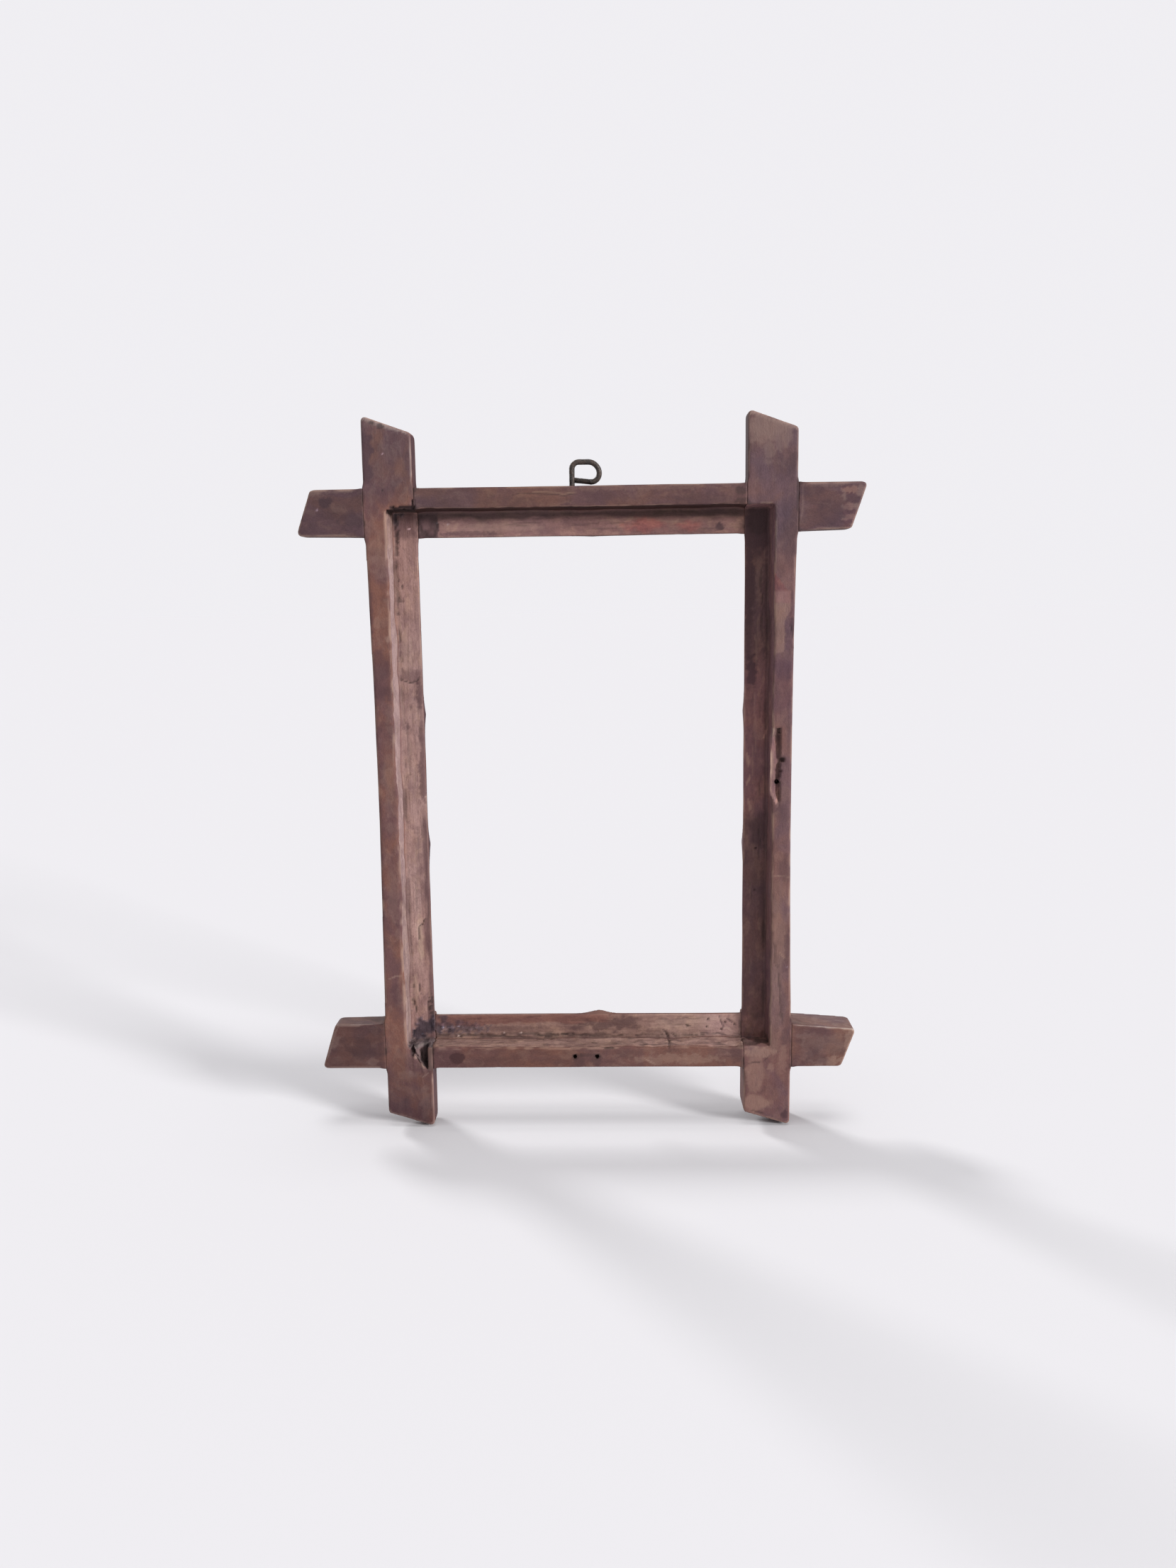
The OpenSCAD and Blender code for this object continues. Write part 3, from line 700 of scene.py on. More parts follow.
# The lip crumbled away at the top corner: carved down, with dirt and painted shade on its face.
crumbled = (y < BACK_Y + 3) & (x > -56.6) & (x < -48.9) & (z > WALL_HIGH - 0.7)
crumbled &= z < WALL_HIGH + 0.7 + 0.7 * left.lumps(1.9, 75)
left.carve(0.9 * crumbled)
left.mark("grime", crumbled, 0.9)
left.tint(crumbled * (x > -55.5), (0.4, 0.36, 0.4))
missing = back * (x > -49.75 + 0.25 * left.lumps(0.8, 76)) * (z > 193) * (z < 196.4)
left.carve(0.9 * missing)
left.mark("grime", missing, 0.8)
left.speck((-51.9, 188.3), 0.25, 4.0)
# Torn fibres along the inner corner, with flaps lifted beside them.
wobble = 0.22 * left.lumps((1, 1, 1.6), 62) + 0.12 * left.lumps((0.5, 0.5, 0.7), 69)
torn_line = floor * fade(abs(x + 56.0 + wobble), 0.08, 0.3)
torn_line *= left.patchy((1, 1, 3), 63, -0.7, -0.2) * span(z, 142, 143, 186, 189)
left.carve(0.35 * torn_line, FLOOR_Y)
left.mark("grime", torn_line, 0.62)
torn_edge = floor * fade(abs(x + 55.5 + wobble), 0.1, 0.3)
left.mark("pale", torn_edge * left.patchy((1, 1, 2), 65, 0, 0.4) * (z > 143), 0.6)
for low_z, high_z, reach in ((180.2, 184.6, 0.9), (172.5, 174.4, 0.8), (166.4, 170.6, 1.6),
                             (162.6, 164.6, 0.7), (154, 156.8, 0.5), (148, 150, 0.6), (38.2, 41, 0.7),
                             (44, 45.4, 0.5)):
    share = np.clip((high_z - z) / (high_z - low_z), 0, 1)
    flap = floor * (z > low_z) * (z < high_z) * between(-55.9 + reach * share + 2 * wobble - x, 0, 0.3)
    left.carve(0.3 * flap, FLOOR_Y)
    left.mark("grime", flap * between(left.lumps((0.7, 0.7, 1.2), 68) + 0.9 * share, 0.2, 0.8), 0.7)
    left.mark("pale", flap * (1 - share), 0.5)
for start, end in (((-55.9, 142.6), (-53.4, 141.7)), ((-53.4, 141.7), (-51.6, 142.0)),
                   ((-51.6, 142.0), (-50.4, 143.4)), ((-51.1, 67), (-52.0, 65)),
                   ((-52.0, 65), (-53.2, 64.4)), ((-53.2, 64.4), (-53.4, 60)),
                   ((-51.0, 40.8), (-51.5, 35.1)), ((-55.0, 172), (-54.4, 170)), ((-54.2, 46), (-53.6, 42)),
                   ((-56.2, 40.5), (-56.6, 35)), ((-55.6, 39.5), (-55.2, 35.5))):
    left.stroke(start, end, 0.3, "grime", floor, 0.85, 0.3, 0.25)
left.mark("grime", floor * blot(p, (-49.7, 37.2), (1.1, 2.8), 0.35, 77, 1.1), 0.8)
dirt = floor * blot(p, (-51.6, 31.3), (5.4, 3.6), 0.3, 63, 0.95)
left.dirty(dirt, 0.5, 64)
left.tint(dirt, (0.68, 0.64, 0.74))
left.speck((-50.6, 31.4), 0.25, 2.0)
left.speck((-53.4, 28.6), 0.25, 2.0)
# The broken place at the foot of the rebate: two torn hollows with splinters standing between them.
broken = (x > -57.1) & (x < -49.1) & (z < 27.6) & (z > 18.5) & (y < FLOOR_Y + 0.5)
inner = broken & (back < 0.5)
splinters = left.lumps((0.7, 1.2, 7), 66)
hollow_one = broken * blot(p, (-55.7, 25.1), (0.75, 1.6), 0.2, 67, 0.2)
hollow_two = inner * span(x, -52.9, -52.3, -51.3, -50.9)
ridge = broken * fade(abs((x + 54.4) + 0.32 * (z - 25.5)), 0.35, 0.75) * between(z, 20.6, 21.4)
left.points[:, 1] += np.where(broken & (y < FLOOR_Y - 0.6), 0.35 * splinters, 0)
left.points[:, 1] -= 0.9 * ridge * (left.points[:, 1] > BACK_Y + 1.0)
left.points[:, 1] += 1.6 * hollow_one * (left.points[:, 1] < FLOOR_Y - 1.5)
left.mark("raw", inner, 1.0)
left.tint(inner, (0.6, 0.66, 0.72))
left.mark("pale", back * between(x, -51.3, -51.0) * span(z, 18.5, 20, 27.6, 28), 0.55)
left.mark("grime", hollow_one, 0.95)
left.mark("grime", hollow_two, 0.75)
left.mark("grime", inner * between(splinters, 0.1, 0.5), 0.6)
left_wood = wood(
    "left upright wood", 2, Stain=(0.19, 0.083, 0.056), Deep_stain=(0.078, 0.037, 0.038),
    Mauve_cast=(0.125, 0.061, 0.06), Worn_wood=(0.33, 0.215, 0.155), Unstained=(0.35, 0.21, 0.175))
left_upright = left.finish(left_wood)
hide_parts("left_stile")

# Right upright: the twin of the left one, cut from a duller, more purple piece of the same board. A long
# sliver has split away from the edge of its rebate, beside an old brad hole.
right = Bar("right_stile", "right_upright", 2, 23)
right.wear(0.12, 0.1)
right.waver(0.25)
p = right.points
back, floor, wall = right.back, right.floor, right.wall
x, y, z = p.T
bent = span(z, 104.5, 108, 123.5, 126) * fade(x, 57.2, 57.9) * fade(y, -4.5, -1.5)
p[:, 0] -= 0.5 * bent * (x > 55.5)
x, y, z = p.T.copy()
swell = 0.25 * right.lumps((3, 3, 2.2), 30)
left_edge = 56.5 + between(z, 123, 127.2) * 0.9 + fade(z, 103.2, 108.5) * 2.6 + 0.4 * swell
right_edge = 59.7 - fade(z, 103, 106) * 0.7 + swell + 0.3 * right.lumps(0.8, 33)
right_edge += 1.2 * fade(abs(z - 117.4 + 0.5 * (x - 60)), 0.3, 1.1)
slope = np.clip((x - left_edge) / 2.1, 0, 1)
split = (z > 103.2) & (z < 127.3 + swell) & (x < right_edge) & (x > left_edge - 0.4)
splinter = 0.55 * right.patchy((0.5, 0.5, 5), 31, 0.1, 0.6)
right.carve(split * (0.25 + 1.25 * slope - splinter * (x < 58.8)))
fresh = split * (y < BACK_Y + 2)
right.mark("raw", fresh, 1.0)
right.tint(fresh * fade(x, 57.9, 58.5), (0.98, 1.0, 1.05))
right.tint(fresh * between(z, 121.5, 124.5), (0.66, 0.68, 0.7))
right.tint(fresh * fade(x - left_edge, 0.35, 0.8), (1.5, 1.62, 1.5))
right.mark("grime", fresh * between(x + 0.3 * right.lumps((1, 1, 2), 34), 58.6, 59.7), 0.62)
right.pit((60.4, 117.6), 0.9, 0.8, back)
right.choke((58.9, 110.7), 0.85, 0.3, BACK_Y + 1.4)
for place, length, lean in (((55.9, 124.8), 1.4, 0.5), ((58.2, 123.4), 1.1, -0.4),
                            ((59.1, 106.8), 2.2, 0.3)):
    away, _ = near_line(p, (place[0] - lean, place[1] - length), (place[0] + lean, place[1] + length))
    right.tint(fade(away, 0.15, 0.35), (1.7, 1.7, 1.6))
right.mark("raw", floor * (0.35 + 0.25 * right.lumps((2, 2, 9), 8)))
right.mark("raw", wall * 0.4)
right.tint(wall, (1.08, 1.06, 1.15))
seam = floor * fade(abs(x - 56.3 - 0.45 * right.lumps((1.2, 1.2, 5), 85)), 0.2, 0.8)
right.mark("grime", seam * right.patchy((1.5, 1.5, 6), 86, -0.6, 0.3), 0.6)
# Painted shade: the horn's side that faces left is darkened.
right.tint((right.facing[:, 0] < -0.5) * between(z, 199, 201), (0.42, 0.36, 0.38))
right.tint(back * between(z, 192, 204), (0.8, 0.86, 0.94))
right.tint(floor * span(z, 96, 104, 140, 152), (1.45, 1.35, 1.38))
lower = back * between(62.4 - x, -0.6, 0.6) * fade(z, 72, 80) * between(z, 22, 28)
right.mark("pale", lower * right.patchy((3, 3, 9), 10, -0.7, 0.4), 0.3)
ragged = 0.35 * right.lumps(1.2, 11) + 0.8 * right.lumps(3, 13)
slant = 173.4 - z + 1.25 * (57.5 - x) + 0.6 * ragged
right.tint(back * between(z, 168.1, 168.4) * between(slant, 0, 0.4), (1.12, 0.88, 0.87))
patch = (back * between(z + 0.5 * ragged, 164.4, 164.7) * fade(z, 168.1, 168.4)
         * fade(x + 0.3 * ragged, 62.0, 62.3))
right.mark("pale", patch * (0.75 + 0.25 * right.lumps((2, 2, 1), 14)), 0.7)
right.tint(patch, (0.98, 0.86, 0.95))
tan_edge = 60.5 + 1.9 * between(z, 156.5, 164.5) + 0.8 * ragged
patch = (back * between(z + ragged, 150.0, 150.5) * fade(z, 168.1, 168.4)
         * fade(x, tan_edge, tan_edge + 0.35))
right.mark("pale", patch * (0.8 + 0.2 * right.lumps((2, 2, 4), 12)), 0.45)
right.tints(back, (
    (between(x, tan_edge, tan_edge + 0.35) * span(z, 150, 151, 167, 169), (0.8, 0.8, 0.9)),
    (span(z, 172, 186, 190, 200), (0.7, 0.78, 0.9)),
    (span(z, 128, 134, 146, 150), (0.8, 0.77, 0.9)),
    (fade(z, 20, 28), (0.95, 0.91, 0.93))))
right.stain(back, (
    ("pale", (56.5, 215.6, 8.5, 3.4, 0.6), (52.6, 213.5, 3.2, 3.0, 0.45), (55.4, 208.6, 1.6, 3.4, 0.4),
            (60.2, 213.4, 1.6, 3.4, 0.45), (58.5, 210, 0.9, 2, 0.35), (52.6, 17, 2.8, 7, 0.45),
            (54.6, 24.4, 4.8, 1.5, 0.6), (53.6, 7.6, 3.6, 2.8, 0.6), (58, 19.7, 1.2, 1.2, 0.5),
            (51.5, 8, 1.4, 3, 0.6), (61.5, 22, 1.2, 5, 0.3)),
    ("dark", (62.2, 3.6, 1.2, 1.5, 0.95), (62.2, 204, 1.8, 4, 0.3), (63.2, 157.6, 1.0, 2.4, 0.75),
            (61.8, 186, 2.4, 10, 0.3), (60.8, 145, 2.6, 4.4, 0.3), (62.6, 128, 1.1, 9, 0.35),
            (60.5, 100, 2, 4, 0.3), (62, 84, 2.2, 4, 0.45), (62.6, 59, 1.1, 5, 0.5),
            (61.2, 41, 1.0, 4, 0.35), (60, 13, 2.6, 4, 0.12), (62.5, 30, 1.6, 3, 0.4))))
right.strokes(back, (
    ((49.9, 20.9), (55.6, 21.3), 0.4, "grime", 0.7, 0.25, 0.4),
    ((55.6, 21.3), (57.2, 23.4), 0.3, "grime", 0.4, 0.15, 0.4),
    ((51.4, 5.4), (55.5, 4.2), 0.5, "grime", 0.6, 0.2), ((57.7, 81.5), (64, 81.1), 0.45, "pale", 0.55),
    ((58.4, 62), (59.3, 50.7), 0.35, "grime", 0.4, 0.15, 0.8),
    ((59.3, 50.7), (60.3, 44.4), 0.45, "grime", 0.6, 0.2, 0.8),
    ((60.3, 44.4), (60.7, 33.2), 0.35, "grime", 0.4, 0.1, 1.0),
    ((60.4, 57.4), (61.8, 55.0), 0.4, "pale", 0.8), ((62.6, 160), (63.2, 154), 0.4, "grime", 0.7, 0.2),
    ((49.8, 219.4), (63.4, 214.6), 1.0, "pale", 0.8, 0.0, 0.3),
    ((50.2, 4.8), (62.8, 0.9), 0.9, "pale", 0.7, 0.0, 0.2),
    ((63.9, 0.8), (64.0, 9), 0.8, "pale", 0.7, 0.0, 0.2),
    ((57.6, 30), (57.5, 100), 0.5, "pale", 0.5, 0.0, 0.3)))
right.speck((62.4, 52.3), 0.25, 2.0)
ended = floor * fade(z + 1.2 * right.lumps(2, 87), 32, 35)
right.crumbs(ended, 0.35, 1.4, 88)
right.tint(ended, (1.75, 1.7, 1.6))
end_wall = wall * fade(z, 28.2, 29)
right.crumbs(end_wall, 0.4, (1.6, 1.2, 1.2), 89)
right.mark("grime", end_wall * right.patchy(1.5, 90, -0.6, 0.4), 0.75)
right.tint(end_wall, (1.15, 1.15, 1.0))
right.stain(floor, (
    ("dark", (53, 187, 6, 9, 0.9)),
    ("grime", (53, 189.5, 5, 4, 0.5)),
    ("dark", (50.6, 170, 1.8, 14, 0.85), (51.6, 145, 1.5, 5, 0.95), (50.4, 153, 1.1, 7, 0.6),
            (54.8, 95, 3, 4.5, 0.65)),
    ("grime", (53, 30.5, 5, 3.6, 0.35)),
    ("dark", (55.6, 70, 1.2, 12, 0.5), (55.6, 165, 1.0, 14, 0.5)),
    ("pale", (53.6, 173, 1.2, 6, 0.3))))
right.hairlines(12, (50, 40), (56, 178), floor, "pale", 0.35, 60)
right.hairlines(10, (50, 40), (56, 178), floor, "grime", 0.5, 61)
for start, end in (((50.2, 118.5), (51.2, 114.5)), ((51.4, 112.5), (50.4, 108.5)),
                   ((50.6, 104.5), (51.4, 100.8))):
    right.stroke(start, end, 0.9, "pale", floor, 0.75)
right.pit((53.4, 88.9), 0.45, 0.8, floor, FLOOR_Y)
right.pit((53.2, 75.6), 0.35, 0.6, floor, FLOOR_Y)
right_wood = wood(
    "right upright wood", 2, Stain=(0.165, 0.08, 0.066), Deep_stain=(0.07, 0.036, 0.038),
    Mauve_cast=(0.13, 0.071, 0.076), Worn_wood=(0.29, 0.18, 0.13), Unstained=(0.2, 0.1, 0.088))
right_upright = right.finish(right_wood)
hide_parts("right_stile")

# Top cross bar: the same old hardwood, halved over the front of both uprights and pinned there. The
# hanging wire is driven into its upper edge, and its left arm has stayed the darkest.
top = Bar("top_rail", "top_cross_bar", 0, 37)
top.wear(0.2, 0.2)
top.waver(0.2)
p = top.points
back, floor, wall = top.back, top.floor, top.wall
x, y, z = p.T.copy()
top.mark("raw", floor * (0.75 + 0.25 * top.lumps((9, 2, 2), 8)))
# Painted shade: the wall under the top lip is darkened, over some dirt, to stand for its shadow.
top.mark("grime", wall * (0.85 + 0.15 * top.lumps((3, 2, 2), 9)), 0.8)
top.tint(wall, (0.58, 0.42, 0.38))
top.tint(floor * fade(x, -20, 10), (1.12, 1.18, 1.2))
top.tints(back, (
    (fade(x, -65, -63), (0.77, 0.82, 0.9)),
    (between(x, 63, 65), (0.87, 0.9, 1.03)),
    ((abs(x) < 50) * fade(x, -40, -20), (0.78, 0.86, 1.0)),
    ((abs(x) < 50) * fade(x, -15, 8), (1.12, 1.1, 1.0))))
top.stain(back, (
    ("dark", (-75.6, 195.6, 1.9, 1.9, 0.8), (-68, 190.5, 3.6, 2.2, 0.5)),
    ("pale", (-78.5, 198.6, 3, 0.7, 0.5), (-71, 198.9, 4, 0.5, 0.35), (79.2, 197.2, 2.4, 0.9, 0.75),
            (82.4, 197, 1.3, 1.6, 0.6), (79.0, 192.4, 2.0, 1.0, 0.6), (78.6, 189.4, 1.6, 1.0, 0.6),
            (80, 187, 0.9, 0.9, 0.5), (77.6, 195.6, 0.6, 1.2, 0.5), (72, 198.8, 6, 0.6, 0.35),
            (20, 198.6, 20, 0.6, 0.25)),
    ("grime", (47.4, 197.3, 1.6, 1.3, 0.6), (47.6, 194.6, 1.6, 1.1, 0.6)),
    ("dark", (-20, 195, 9, 1.6, 0.3), (5, 196, 4, 2, 0.3), (36, 195.2, 7, 1.6, 0.35),
            (75, 191, 4, 3, 0.3), (68, 197, 3, 2, 0.3))), 0.25, 0.6)
top.tints(back, (
    (blot(p, (79.2, 197.2), (2.6, 1.2), 0.4, 54), (1.05, 0.9, 0.85)),
    (blot(p, (79.2, 190), (1.8, 3.4), 0.4, 54), (1.1, 1.0, 1.0))))
top.speck((-77.9, 193.6))
top.strokes(back, (
    ((-20, 197.3), (2, 196.9), 0.4, "grime", 0.5, 0.15), ((-14, 197.7), (0, 197.4), 0.4, "pale", 0.5),
    ((65, 186.3), (65.2, 198.5), 0.5, "pale", 0.35)))
top.stain(floor, (
    ("dark", (41.8, 187.5, 1.3, 1.2, 0.9), (-34, 186.6, 8, 0.7, 0.5)),
    ("pale", (-25, 188.3, 14, 1.2, 0.3))))
square = floor * (x < -42.9 + 0.5 * top.lumps(1.4, 59)) * (x > -50)
top.mark("dark", square, 0.85)
top.mark("grime", square * top.patchy(1.6, 60, -0.2, 0.7), 0.7)
top.mark("grime", square * fade(abs(x + 43.8 + 0.4 * top.lumps(1, 62)), 0.2, 0.6), 0.6)
top.tint(square * between(-top.lumps(1.6, 60), 0.1, 0.6), (1.35, 1.35, 1.35))
top.crumbs(square, 0.25, 1.3, 61)
top.strokes(floor, (
    ((-48.9, 191), (-48.4, 186.2), 0.7, "grime", 0.8, 0.2, 0.6),
    ((-43.4, 190.2), (-43.2, 188.2), 0.4, "grime", 0.8, 0.2, 0.4)))
top.mark("grime", floor * blot(p, (-47.8, 186.9), (1.5, 0.8), 0.3, 64, 0.8), 0.75)
top.mark("pale", floor * blot(p, (-46.1, 188.9), (1.7, 0.6), 0.3, 65, 0.8), 0.3)
top.speck((-43.3, 189.8), 0.25, 1.5)
top.speck((-40.1, 189.4), 0.3, 1.4)
gone = np.clip(back + top.lip, 0, 1) * (x < -48.75) * (x > -49.5) * (z > 193) * (z < 196.2)
top.carve(0.9 * gone)
top.mark("grime", gone, 0.8)
top.tints(floor, (
    (span(x, -43, -42, 10, 20), (1.12, 1.12, 1.15)),
    (blot(p, (19.5, 188.4), (6, 2.0), 0.5, 56), (1.28, 0.9, 0.88)),
    (blot(p, (32.5, 187.8), (3.6, 1.4), 0.5, 57), (1.28, 0.95, 0.92))))
# Painted shadow: the upper part of the floor, under the lip, is darkened.
top.mark("grime", floor * between(z + 0.7 * top.lumps((4, 2, 2), 58), 190.2, 191.6), 0.75)
top.hairlines(8, (-47, 186), (40, 191), floor, "grime", 0.35, 62)
top.hairlines(7, (-47, 186), (40, 191), floor, "pale", 0.35, 63)
for side in (-1, 1):
    top.rosette((side * (SIGHT_X + SIDE_X) / 2, (SIGHT_HIGH + RAIL_HIGH) / 2))
top_wood = wood(
    "top cross bar wood", 0, Stain=(0.128, 0.061, 0.048), Deep_stain=(0.058, 0.03, 0.031),
    Mauve_cast=(0.1, 0.052, 0.055), Worn_wood=(0.25, 0.155, 0.11), Unstained=(0.23, 0.12, 0.1))
top_cross_bar = top.finish(top_wood)
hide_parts("top_rail")

# Bottom cross bar: the same hardwood, halved over the uprights and the most worn of the four. Its right
# arm is rubbed down, worm holes and crumbled fibres lie along its rebate, and two old brad holes are
# left in its back.
bottom = Bar("bottom_rail", "bottom_cross_bar", 0, 53)
bottom.wear(0.4, 0.2)
bottom.waver(0.34)
p = bottom.points
back, floor, wall, lip = bottom.back, bottom.floor, bottom.wall, bottom.lip
x, y, z = p.T.copy()
bottom.mark("raw", floor * (0.75 + 0.25 * bottom.lumps((9, 2, 2), 8)))
bottom.mark("raw", wall)
bottom.tint(wall, (0.98, 1.0, 1.03))
bottom.tint(wall * between(x, 12, 24), (1.25, 1.28, 1.3))
bottom.tints(floor, (
    (between(x, 12, 22), (1.24, 1.28, 1.28)),
    (between(x, 34, 42), (1.2, 1.22, 1.32))))
bottom.tint((bottom.facing[:, 2] > 0.5) * between(x, 64, 65), (1.2, 1.5, 1.66))
bottom.tint((bottom.facing[:, 2] > 0.5) * between(-x, 64, 65), (0.75, 0.85, 0.93))
bottom.tints(back, (
    (fade(x, -66, -63), (0.58, 0.58, 0.65)),
    (span(x, -5, 20, 55, 60), (1.03, 1.05, 1.05)),
    (fade(x, -44, -34) * (x > -50), (0.85, 0.85, 0.95)),
    (fade(x, -15, 5) * (x > -50), (0.93, 0.89, 0.86)),
    (span(x, 64, 66, 74, 78), (0.84, 0.86, 0.96)),
    (between(x, 74, 78), (1.05, 1.08, 1.08))))
bottom.tint(floor * span(x, 20, 26, 40, 46), (1.02, 1.04, 1.06))
ledge = z + 0.6 * bottom.lumps((5, 2, 2), 74) + 0.25 * bottom.lumps((1.5, 1, 1), 75)
ledge += 1.2 * between(-x, 30, 40)
stripe = floor * fade(x, 4, 9) * between(ledge, 32.0, 32.4)
bottom.mark("dark", stripe * (0.8 + 0.2 * bottom.lumps((4, 2, 2), 76)), 0.62)
bottom.tint(stripe, (1.15, 0.95, 0.9))
bottom.stain(floor, (
    ("dark", (6, 31.6, 10, 2.2, 0.7), (-44, 32.6, 5, 2.4, 0.6), (-26, 30.4, 10, 0.8, 0.3)),
    ("pale", (30, 31.5, 8, 1.6, 0.3), (40, 33.4, 7, 0.8, 0.4)),
    ("dark", (22, 29.4, 3, 0.8, 0.4))), 0.35, 0.6)
bottom.choke((-4.0, 23.4), 0.85, 0.3)
bottom.choke((3.0, 23.4), 0.85, 0.3)
fibres = floor * fade(z, 28.4, 29.2) * (1 - 0.6 * between(x, 0, 12))
lump = bottom.crumbs(fibres, 0.35, (2.4, 0.7, 0.6), 64)
bottom.mark("grime", fibres * between(0.5 - lump, 0, 0.3), 0.7)
bottom.mark("pale", fibres * between(lump, 0.7, 1.0), 0.6)
torn = bottom.lumps((4, 0.9, 4), 81) + 0.5 * bottom.lumps((1.3, 0.7, 1.3), 82)
bottom.crumbs(wall, 0.3, (2.4, 0.8, 0.8), 83)
bottom.mark("grime", wall * between(torn, 0.35, 0.8), 0.6)
bottom.mark("pale", wall * between(-torn, 0.4, 0.8), 0.2)
crumbly = floor * fade(abs(z - 27.9 - 0.5 * bottom.lumps((3, 1, 1), 66)), 0.15, 0.5)
grains = 0.6 * bottom.lumps((1.8, 0.9, 0.9), 67) + 0.5 * bottom.lumps((0.6, 0.5, 0.5), 71)
bottom.mark("grime", crumbly * between(grains, -0.1, 0.4), 0.85)
bottom.carve(0.4 * crumbly * between(grains, 0, 0.4), FLOOR_Y)
bottom.mark("pale", crumbly * between(-grains, 0.1, 0.5), 0.6)
bottom.mark("pale", lip * bottom.patchy((2.5, 1, 1), 68, -0.2, 0.4), 0.6)
bottom.tint(lip, (1.0, 0.95, 0.95))
tail = 0.7 * blot(p, (-40, 30.6), (6.5, 1.4), 0.5, 64, 0.9)
dirt = floor * np.maximum(blot(p, (-48, 31.2), (5.4, 3.2), 0.35, 63, 0.8), tail)
bottom.dirty(dirt, 0.45, 69)
bottom.tint(dirt, (1.06, 1.0, 1.12))
for place in ((-41.6, 31.1), (-41.7, 28), (-27, 28.8), (-21.5, 28.8), (-46.8, 30.9)):
    bottom.speck(place)
bottom.stain(back, (
    ("dark", (-34, 21.6, 3.4, 1.1, 0.22), (-2.8, 22, 1.6, 2.4, 0.7), (2.9, 22.2, 1.5, 2.4, 0.7)),
    ("grime", (-0.5, 23.9, 3.2, 0.55, 0.5)),
    ("dark", (-25, 22, 6, 2, 0.25), (12, 24.5, 5, 1.2, 0.3), (-72, 26, 3.4, 3, 0.45), (72, 23, 4, 2, 0.4),
            (78.5, 24.5, 1.6, 1.4, 0.35), (47, 24, 2, 4, 0.45)),
    ("pale", (30, 22.5, 12, 1.6, 0.3), (75, 26.5, 6, 4, 0.18), (68.5, 29.8, 3, 0.8, 0.25),
            (82.5, 28, 1.6, 4, 0.4), (77.6, 22.6, 1.2, 1.0, 0.45), (75.5, 21.4, 5, 1.3, 0.4)),
    ("dark", (80.6, 24.6, 0.8, 1.3, 0.5)),
    ("pale", (-68, 22, 2, 1.2, 0.35), (-80, 29, 1.6, 2.5, 0.35))), 0.25, 0.6)
knot = back * blot(p, (-41.4, 23.1), (2.4, 2.0), 0.1, 78, 0.15)
bottom.mark("dark", knot, 0.95)
bottom.tint(knot, (0.9, 0.82, 0.8))
bottom.strokes(back, (
    ((-82.8, 20.4), (-66, 20.2), 0.7, "pale", 0.7, 0.0, 0.3),
    ((-84.0, 21), (-79.2, 33.6), 0.8, "pale", 0.7, 0.0, 0.3),
    ((66, 34.2), (82, 33.4), 0.7, "pale", 0.6, 0.0, 0.3)))
for spot in ((31.8, 30.7), (38.1, 30.4), (43.9, 31.9), (47.0, 31.2), (42.7, 29.6), (38.5, 32.9)):
    bottom.pit(spot, 0.42, 0.8, floor, FLOOR_Y, 0.8)
for start, end in (((42.2, 34.2), (43.4, 30.1)), ((24.2, 29.6), (26.4, 26.8)), ((27, 28.6), (28.6, 27.2)),
                   ((5.4, 27), (8, 26.8)), ((36, 28.2), (39, 28.7)), ((40.5, 28.8), (44, 27.8)),
                   ((44.6, 33.4), (46.8, 31.8)), ((30.6, 31.6), (33, 30.6))):
    bottom.stroke(start, end, 0.45, "grime", floor, 0.75, 0.25)
bottom.stroke((43.4, 30.1), (46.3, 29.6), 0.5, "pale", floor, 0.8)
rebate_edge = np.clip(floor + wall + lip, 0, 1)
bottom.stroke((5.4, 26.4), (8.4, 26.2), 0.6, "grime", np.clip(back + lip, 0, 1), 0.8, 0.3)
bottom.stroke((25.1, 28.8), (26.2, 25.8), 0.6, "grime", rebate_edge, 0.8, 0.3)
bottom.stroke((17.9, 22.8), (21.5, 20.4), 0.4, "pale", back, 0.7)
bottom.hairlines(9, (-46, 28), (36, 34.5), floor, "grime", 0.35, 72)
bottom.hairlines(8, (-46, 28), (36, 34.5), floor, "pale", 0.4, 73)
for side in (-1, 1):
    bottom.rosette((side * (SIGHT_X + SIDE_X) / 2, (SIGHT_LOW + RAIL_LOW) / 2))
bottom_wood = wood(
    "bottom cross bar wood", 0, Stain=(0.158, 0.071, 0.051), Deep_stain=(0.07, 0.034, 0.032),
    Mauve_cast=(0.115, 0.056, 0.051), Worn_wood=(0.31, 0.2, 0.145), Unstained=(0.27, 0.16, 0.122))
bottom_cross_bar = bottom.finish(bottom_wood)
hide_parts("bottom_rail")

# Hanging loop: soft iron wire, driven into the top cross bar and bent with pliers into an eye. It is
# dark and dull, with a brown bloom of rust, and keeps the dents that the pliers left.
WIRE_STEP = 0.00016
PLIER_PINCH = 0.05
PIT_DEPTH = 0.035
IRON_SHADE = (0.4, 0.38, 0.38, 1)
IRON_RELIEF = 0.00008

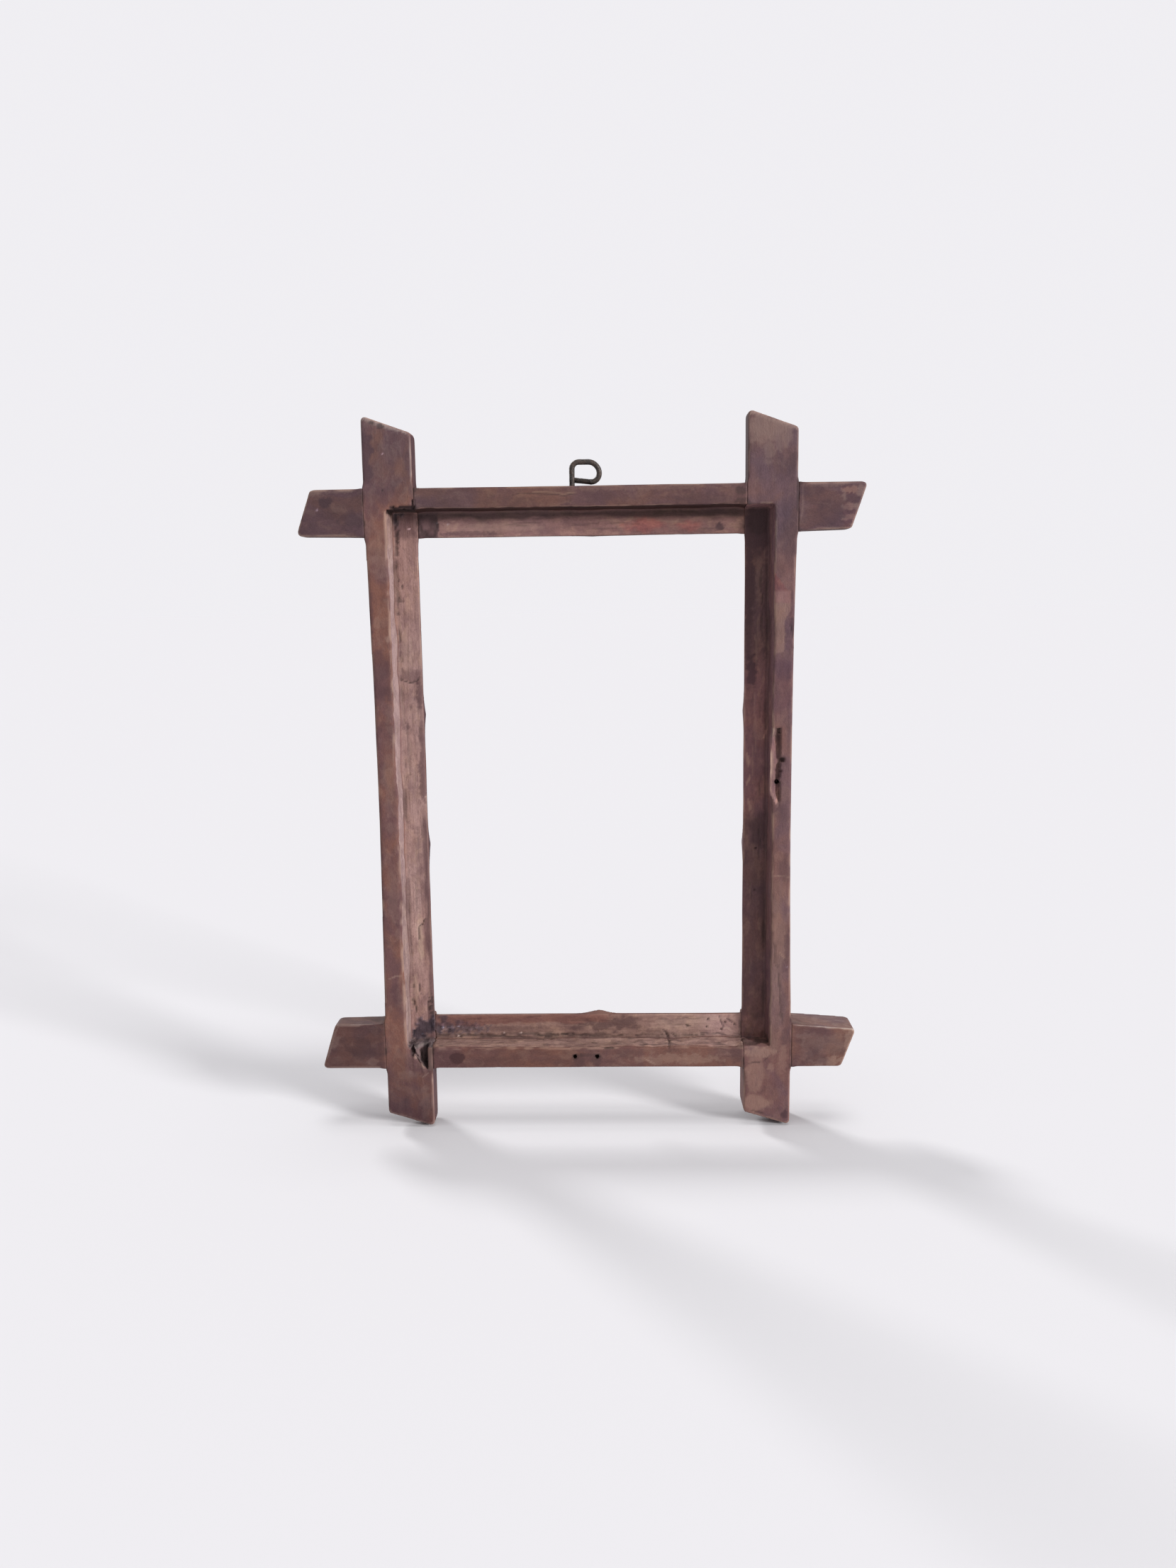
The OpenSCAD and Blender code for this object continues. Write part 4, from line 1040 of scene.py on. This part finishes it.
iron_skin, take, give = new_group(
    "aged iron", {"Vector": ["Place"], "Color": ["Iron", "Rust"], "Float": ["Rust share"]},
    {"Color": ["Colour"], "Float": ["Metallic", "Roughness", "Height"]})
bloom = cloud(iron_skin, take["Place"], (1.6, 1.6, 1.6), 0.42, 0.6, 6.0, 0.8)
bloom = worked(iron_skin, "MULTIPLY", bloom, take["Rust share"])
grit = cloud(iron_skin, take["Place"], (0.2, 0.2, 0.2), 0.45, 0.65, 3.0)
colour = mixed(iron_skin, bloom, take["Iron"], take["Rust"])
colour = layered(iron_skin, colour, ((grit, 0.5, IRON_SHADE, "MULTIPLY"),))
plug(iron_skin, colour, give["Colour"])
plug(iron_skin, worked(iron_skin, "MULTIPLY_ADD", bloom, -0.8, 0.85), give["Metallic"])
plug(iron_skin, worked(iron_skin, "MULTIPLY_ADD", bloom, 0.35, 0.4), give["Roughness"])
plug(iron_skin, worked(iron_skin, "ADD", grit, bloom), give["Height"])


def iron(name, colour, rust, rust_share):
    """Bare iron gone dark, with more or less of a rust bloom on it."""
    made, tree, at = new_material(name)
    surface = put(tree, "ShaderNodeGroup", {"node_tree": iron_skin}, Place=at, Iron=(*colour, 1),
                  Rust=(*rust, 1), Rust_share=rust_share).outputs
    coated(tree, surface, 0.7, IRON_RELIEF, Metallic=surface["Metallic"])
    return made


def rusted(node_name, piece_name, step, dent_size, material, seed):
    """A small iron part, its surface pitted and dented inward."""
    piece = even_skin(node_name, piece_name, step)
    mesh = piece.data
    points = read_points(mesh.vertices, "co") * MM
    facing = read_points(mesh.vertex_normals, "vector")
    dent = PLIER_PINCH * (1 + noise(points, dent_size, seed))
    dent += PIT_DEPTH * between(noise(points, 0.45, seed + 1), 0.1, 0.8)
    write_points(mesh, points - facing * dent[:, None])
    dress(piece, material)
    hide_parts(node_name)
    return piece


loop_iron = iron("loop iron", (0.07, 0.06, 0.056), (0.085, 0.05, 0.034), 0.55)
wire_loop = rusted("hanging_loop", "wire_loop", WIRE_STEP, 2.6, loop_iron, 71)

# Crossing brads: a small iron nail through each crossing, driven from the front until its flat head
# sits in the wood.
BRAD_STEP = 0.00012
brad_iron = iron("brad iron", (0.05, 0.042, 0.04), (0.11, 0.05, 0.028), 0.8)
rusted("crossing_brads", "brads", BRAD_STEP, 1.1, brad_iron, 83)

# The studio: a plain pale floor, soft light from all sides and the photograph's point of view.
REACH = 20
FLOOR_COLOUR = (0.633, 0.624, 0.641, 1)
AMBIENT_COLOUR = (0.97, 0.96, 1.0, 1)
AMBIENT_STRENGTH = 0.36
BACKDROP_COLOUR = (0.87, 0.858, 0.89, 1)
LENS_MM = 27.03
SENSOR_MM = 36

corners = [(-REACH, -REACH, 0), (REACH, -REACH, 0), (REACH, REACH, 0), (-REACH, REACH, 0)]
floor_mesh = bpy.data.meshes.new("studio floor")
floor_mesh.from_pydata(corners, [], [(0, 1, 2, 3)])
studio_floor = bpy.data.objects.new("studio_floor", floor_mesh)
bpy.context.scene.collection.objects.link(studio_floor)
pale = bpy.data.materials.new("pale floor")
pale.use_nodes = True
surface = pale.node_tree.nodes["Principled BSDF"].inputs
surface["Base Color"].default_value = FLOOR_COLOUR
surface["Roughness"].default_value = 1.0
surface["Specular IOR Level"].default_value = 0.0
floor_mesh.materials.append(pale)

surroundings = bpy.data.worlds.new("studio")
bpy.context.scene.world = surroundings
surroundings.use_nodes = True
tree = surroundings.node_tree
ambient = tree.nodes["Background"]
ambient.inputs["Color"].default_value = AMBIENT_COLOUR
ambient.inputs["Strength"].default_value = AMBIENT_STRENGTH
behind = put(tree, "ShaderNodeBackground", Color=BACKDROP_COLOUR, Strength=1.0)
seen = put(tree, "ShaderNodeLightPath").outputs["Is Camera Ray"]
both = put(tree, "ShaderNodeMixShader", Fac=seen)
plug(tree, ambient.outputs[0], both.inputs[1])
plug(tree, behind.outputs[0], both.inputs[2])
plug(tree, both.outputs[0], tree.nodes["World Output"].inputs["Surface"])

# Each lamp has a name, the direction it shines from, the spread of its light in degrees and its power.
LAMPS = (
    ("key", (0.78, -0.54, 0.31), 14, 3.7),
    ("overhead", (0.05, -0.05, 1.0), 30, 1.1),
    ("back key", (-0.6, 0.65, 0.5), 14, 2.0),
)
for name, towards, spread, power in LAMPS:
    data = bpy.data.lights.new(name, "SUN")
    data.angle = math.radians(spread)
    data.energy = power
    lamp = bpy.data.objects.new(name, data)
    lamp.rotation_euler = (-Vector(towards)).to_track_quat("-Z", "Y").to_euler()
    bpy.context.scene.collection.objects.link(lamp)

lens = bpy.data.cameras.new("camera")
lens.sensor_fit = "VERTICAL"
lens.sensor_height = SENSOR_MM
lens.lens = LENS_MM
lens.clip_start = 0.01
camera = bpy.data.objects.new("camera", lens)
bpy.context.scene.collection.objects.link(camera)
to_right = (0.999697, 0.020615, -0.013415)
upward = (0.010097, 0.153385, 0.988115)
backward = (0.022428, -0.987951, 0.153130)
stand_point = (0.00934, -0.36107, 0.16583)
rows = [(*axes, at) for *axes, at in zip(to_right, upward, backward, stand_point)]
camera.matrix_world = Matrix(rows + [(0, 0, 0, 1)])
bpy.context.scene.camera = camera
bpy.context.scene.view_settings.view_transform = "Standard"
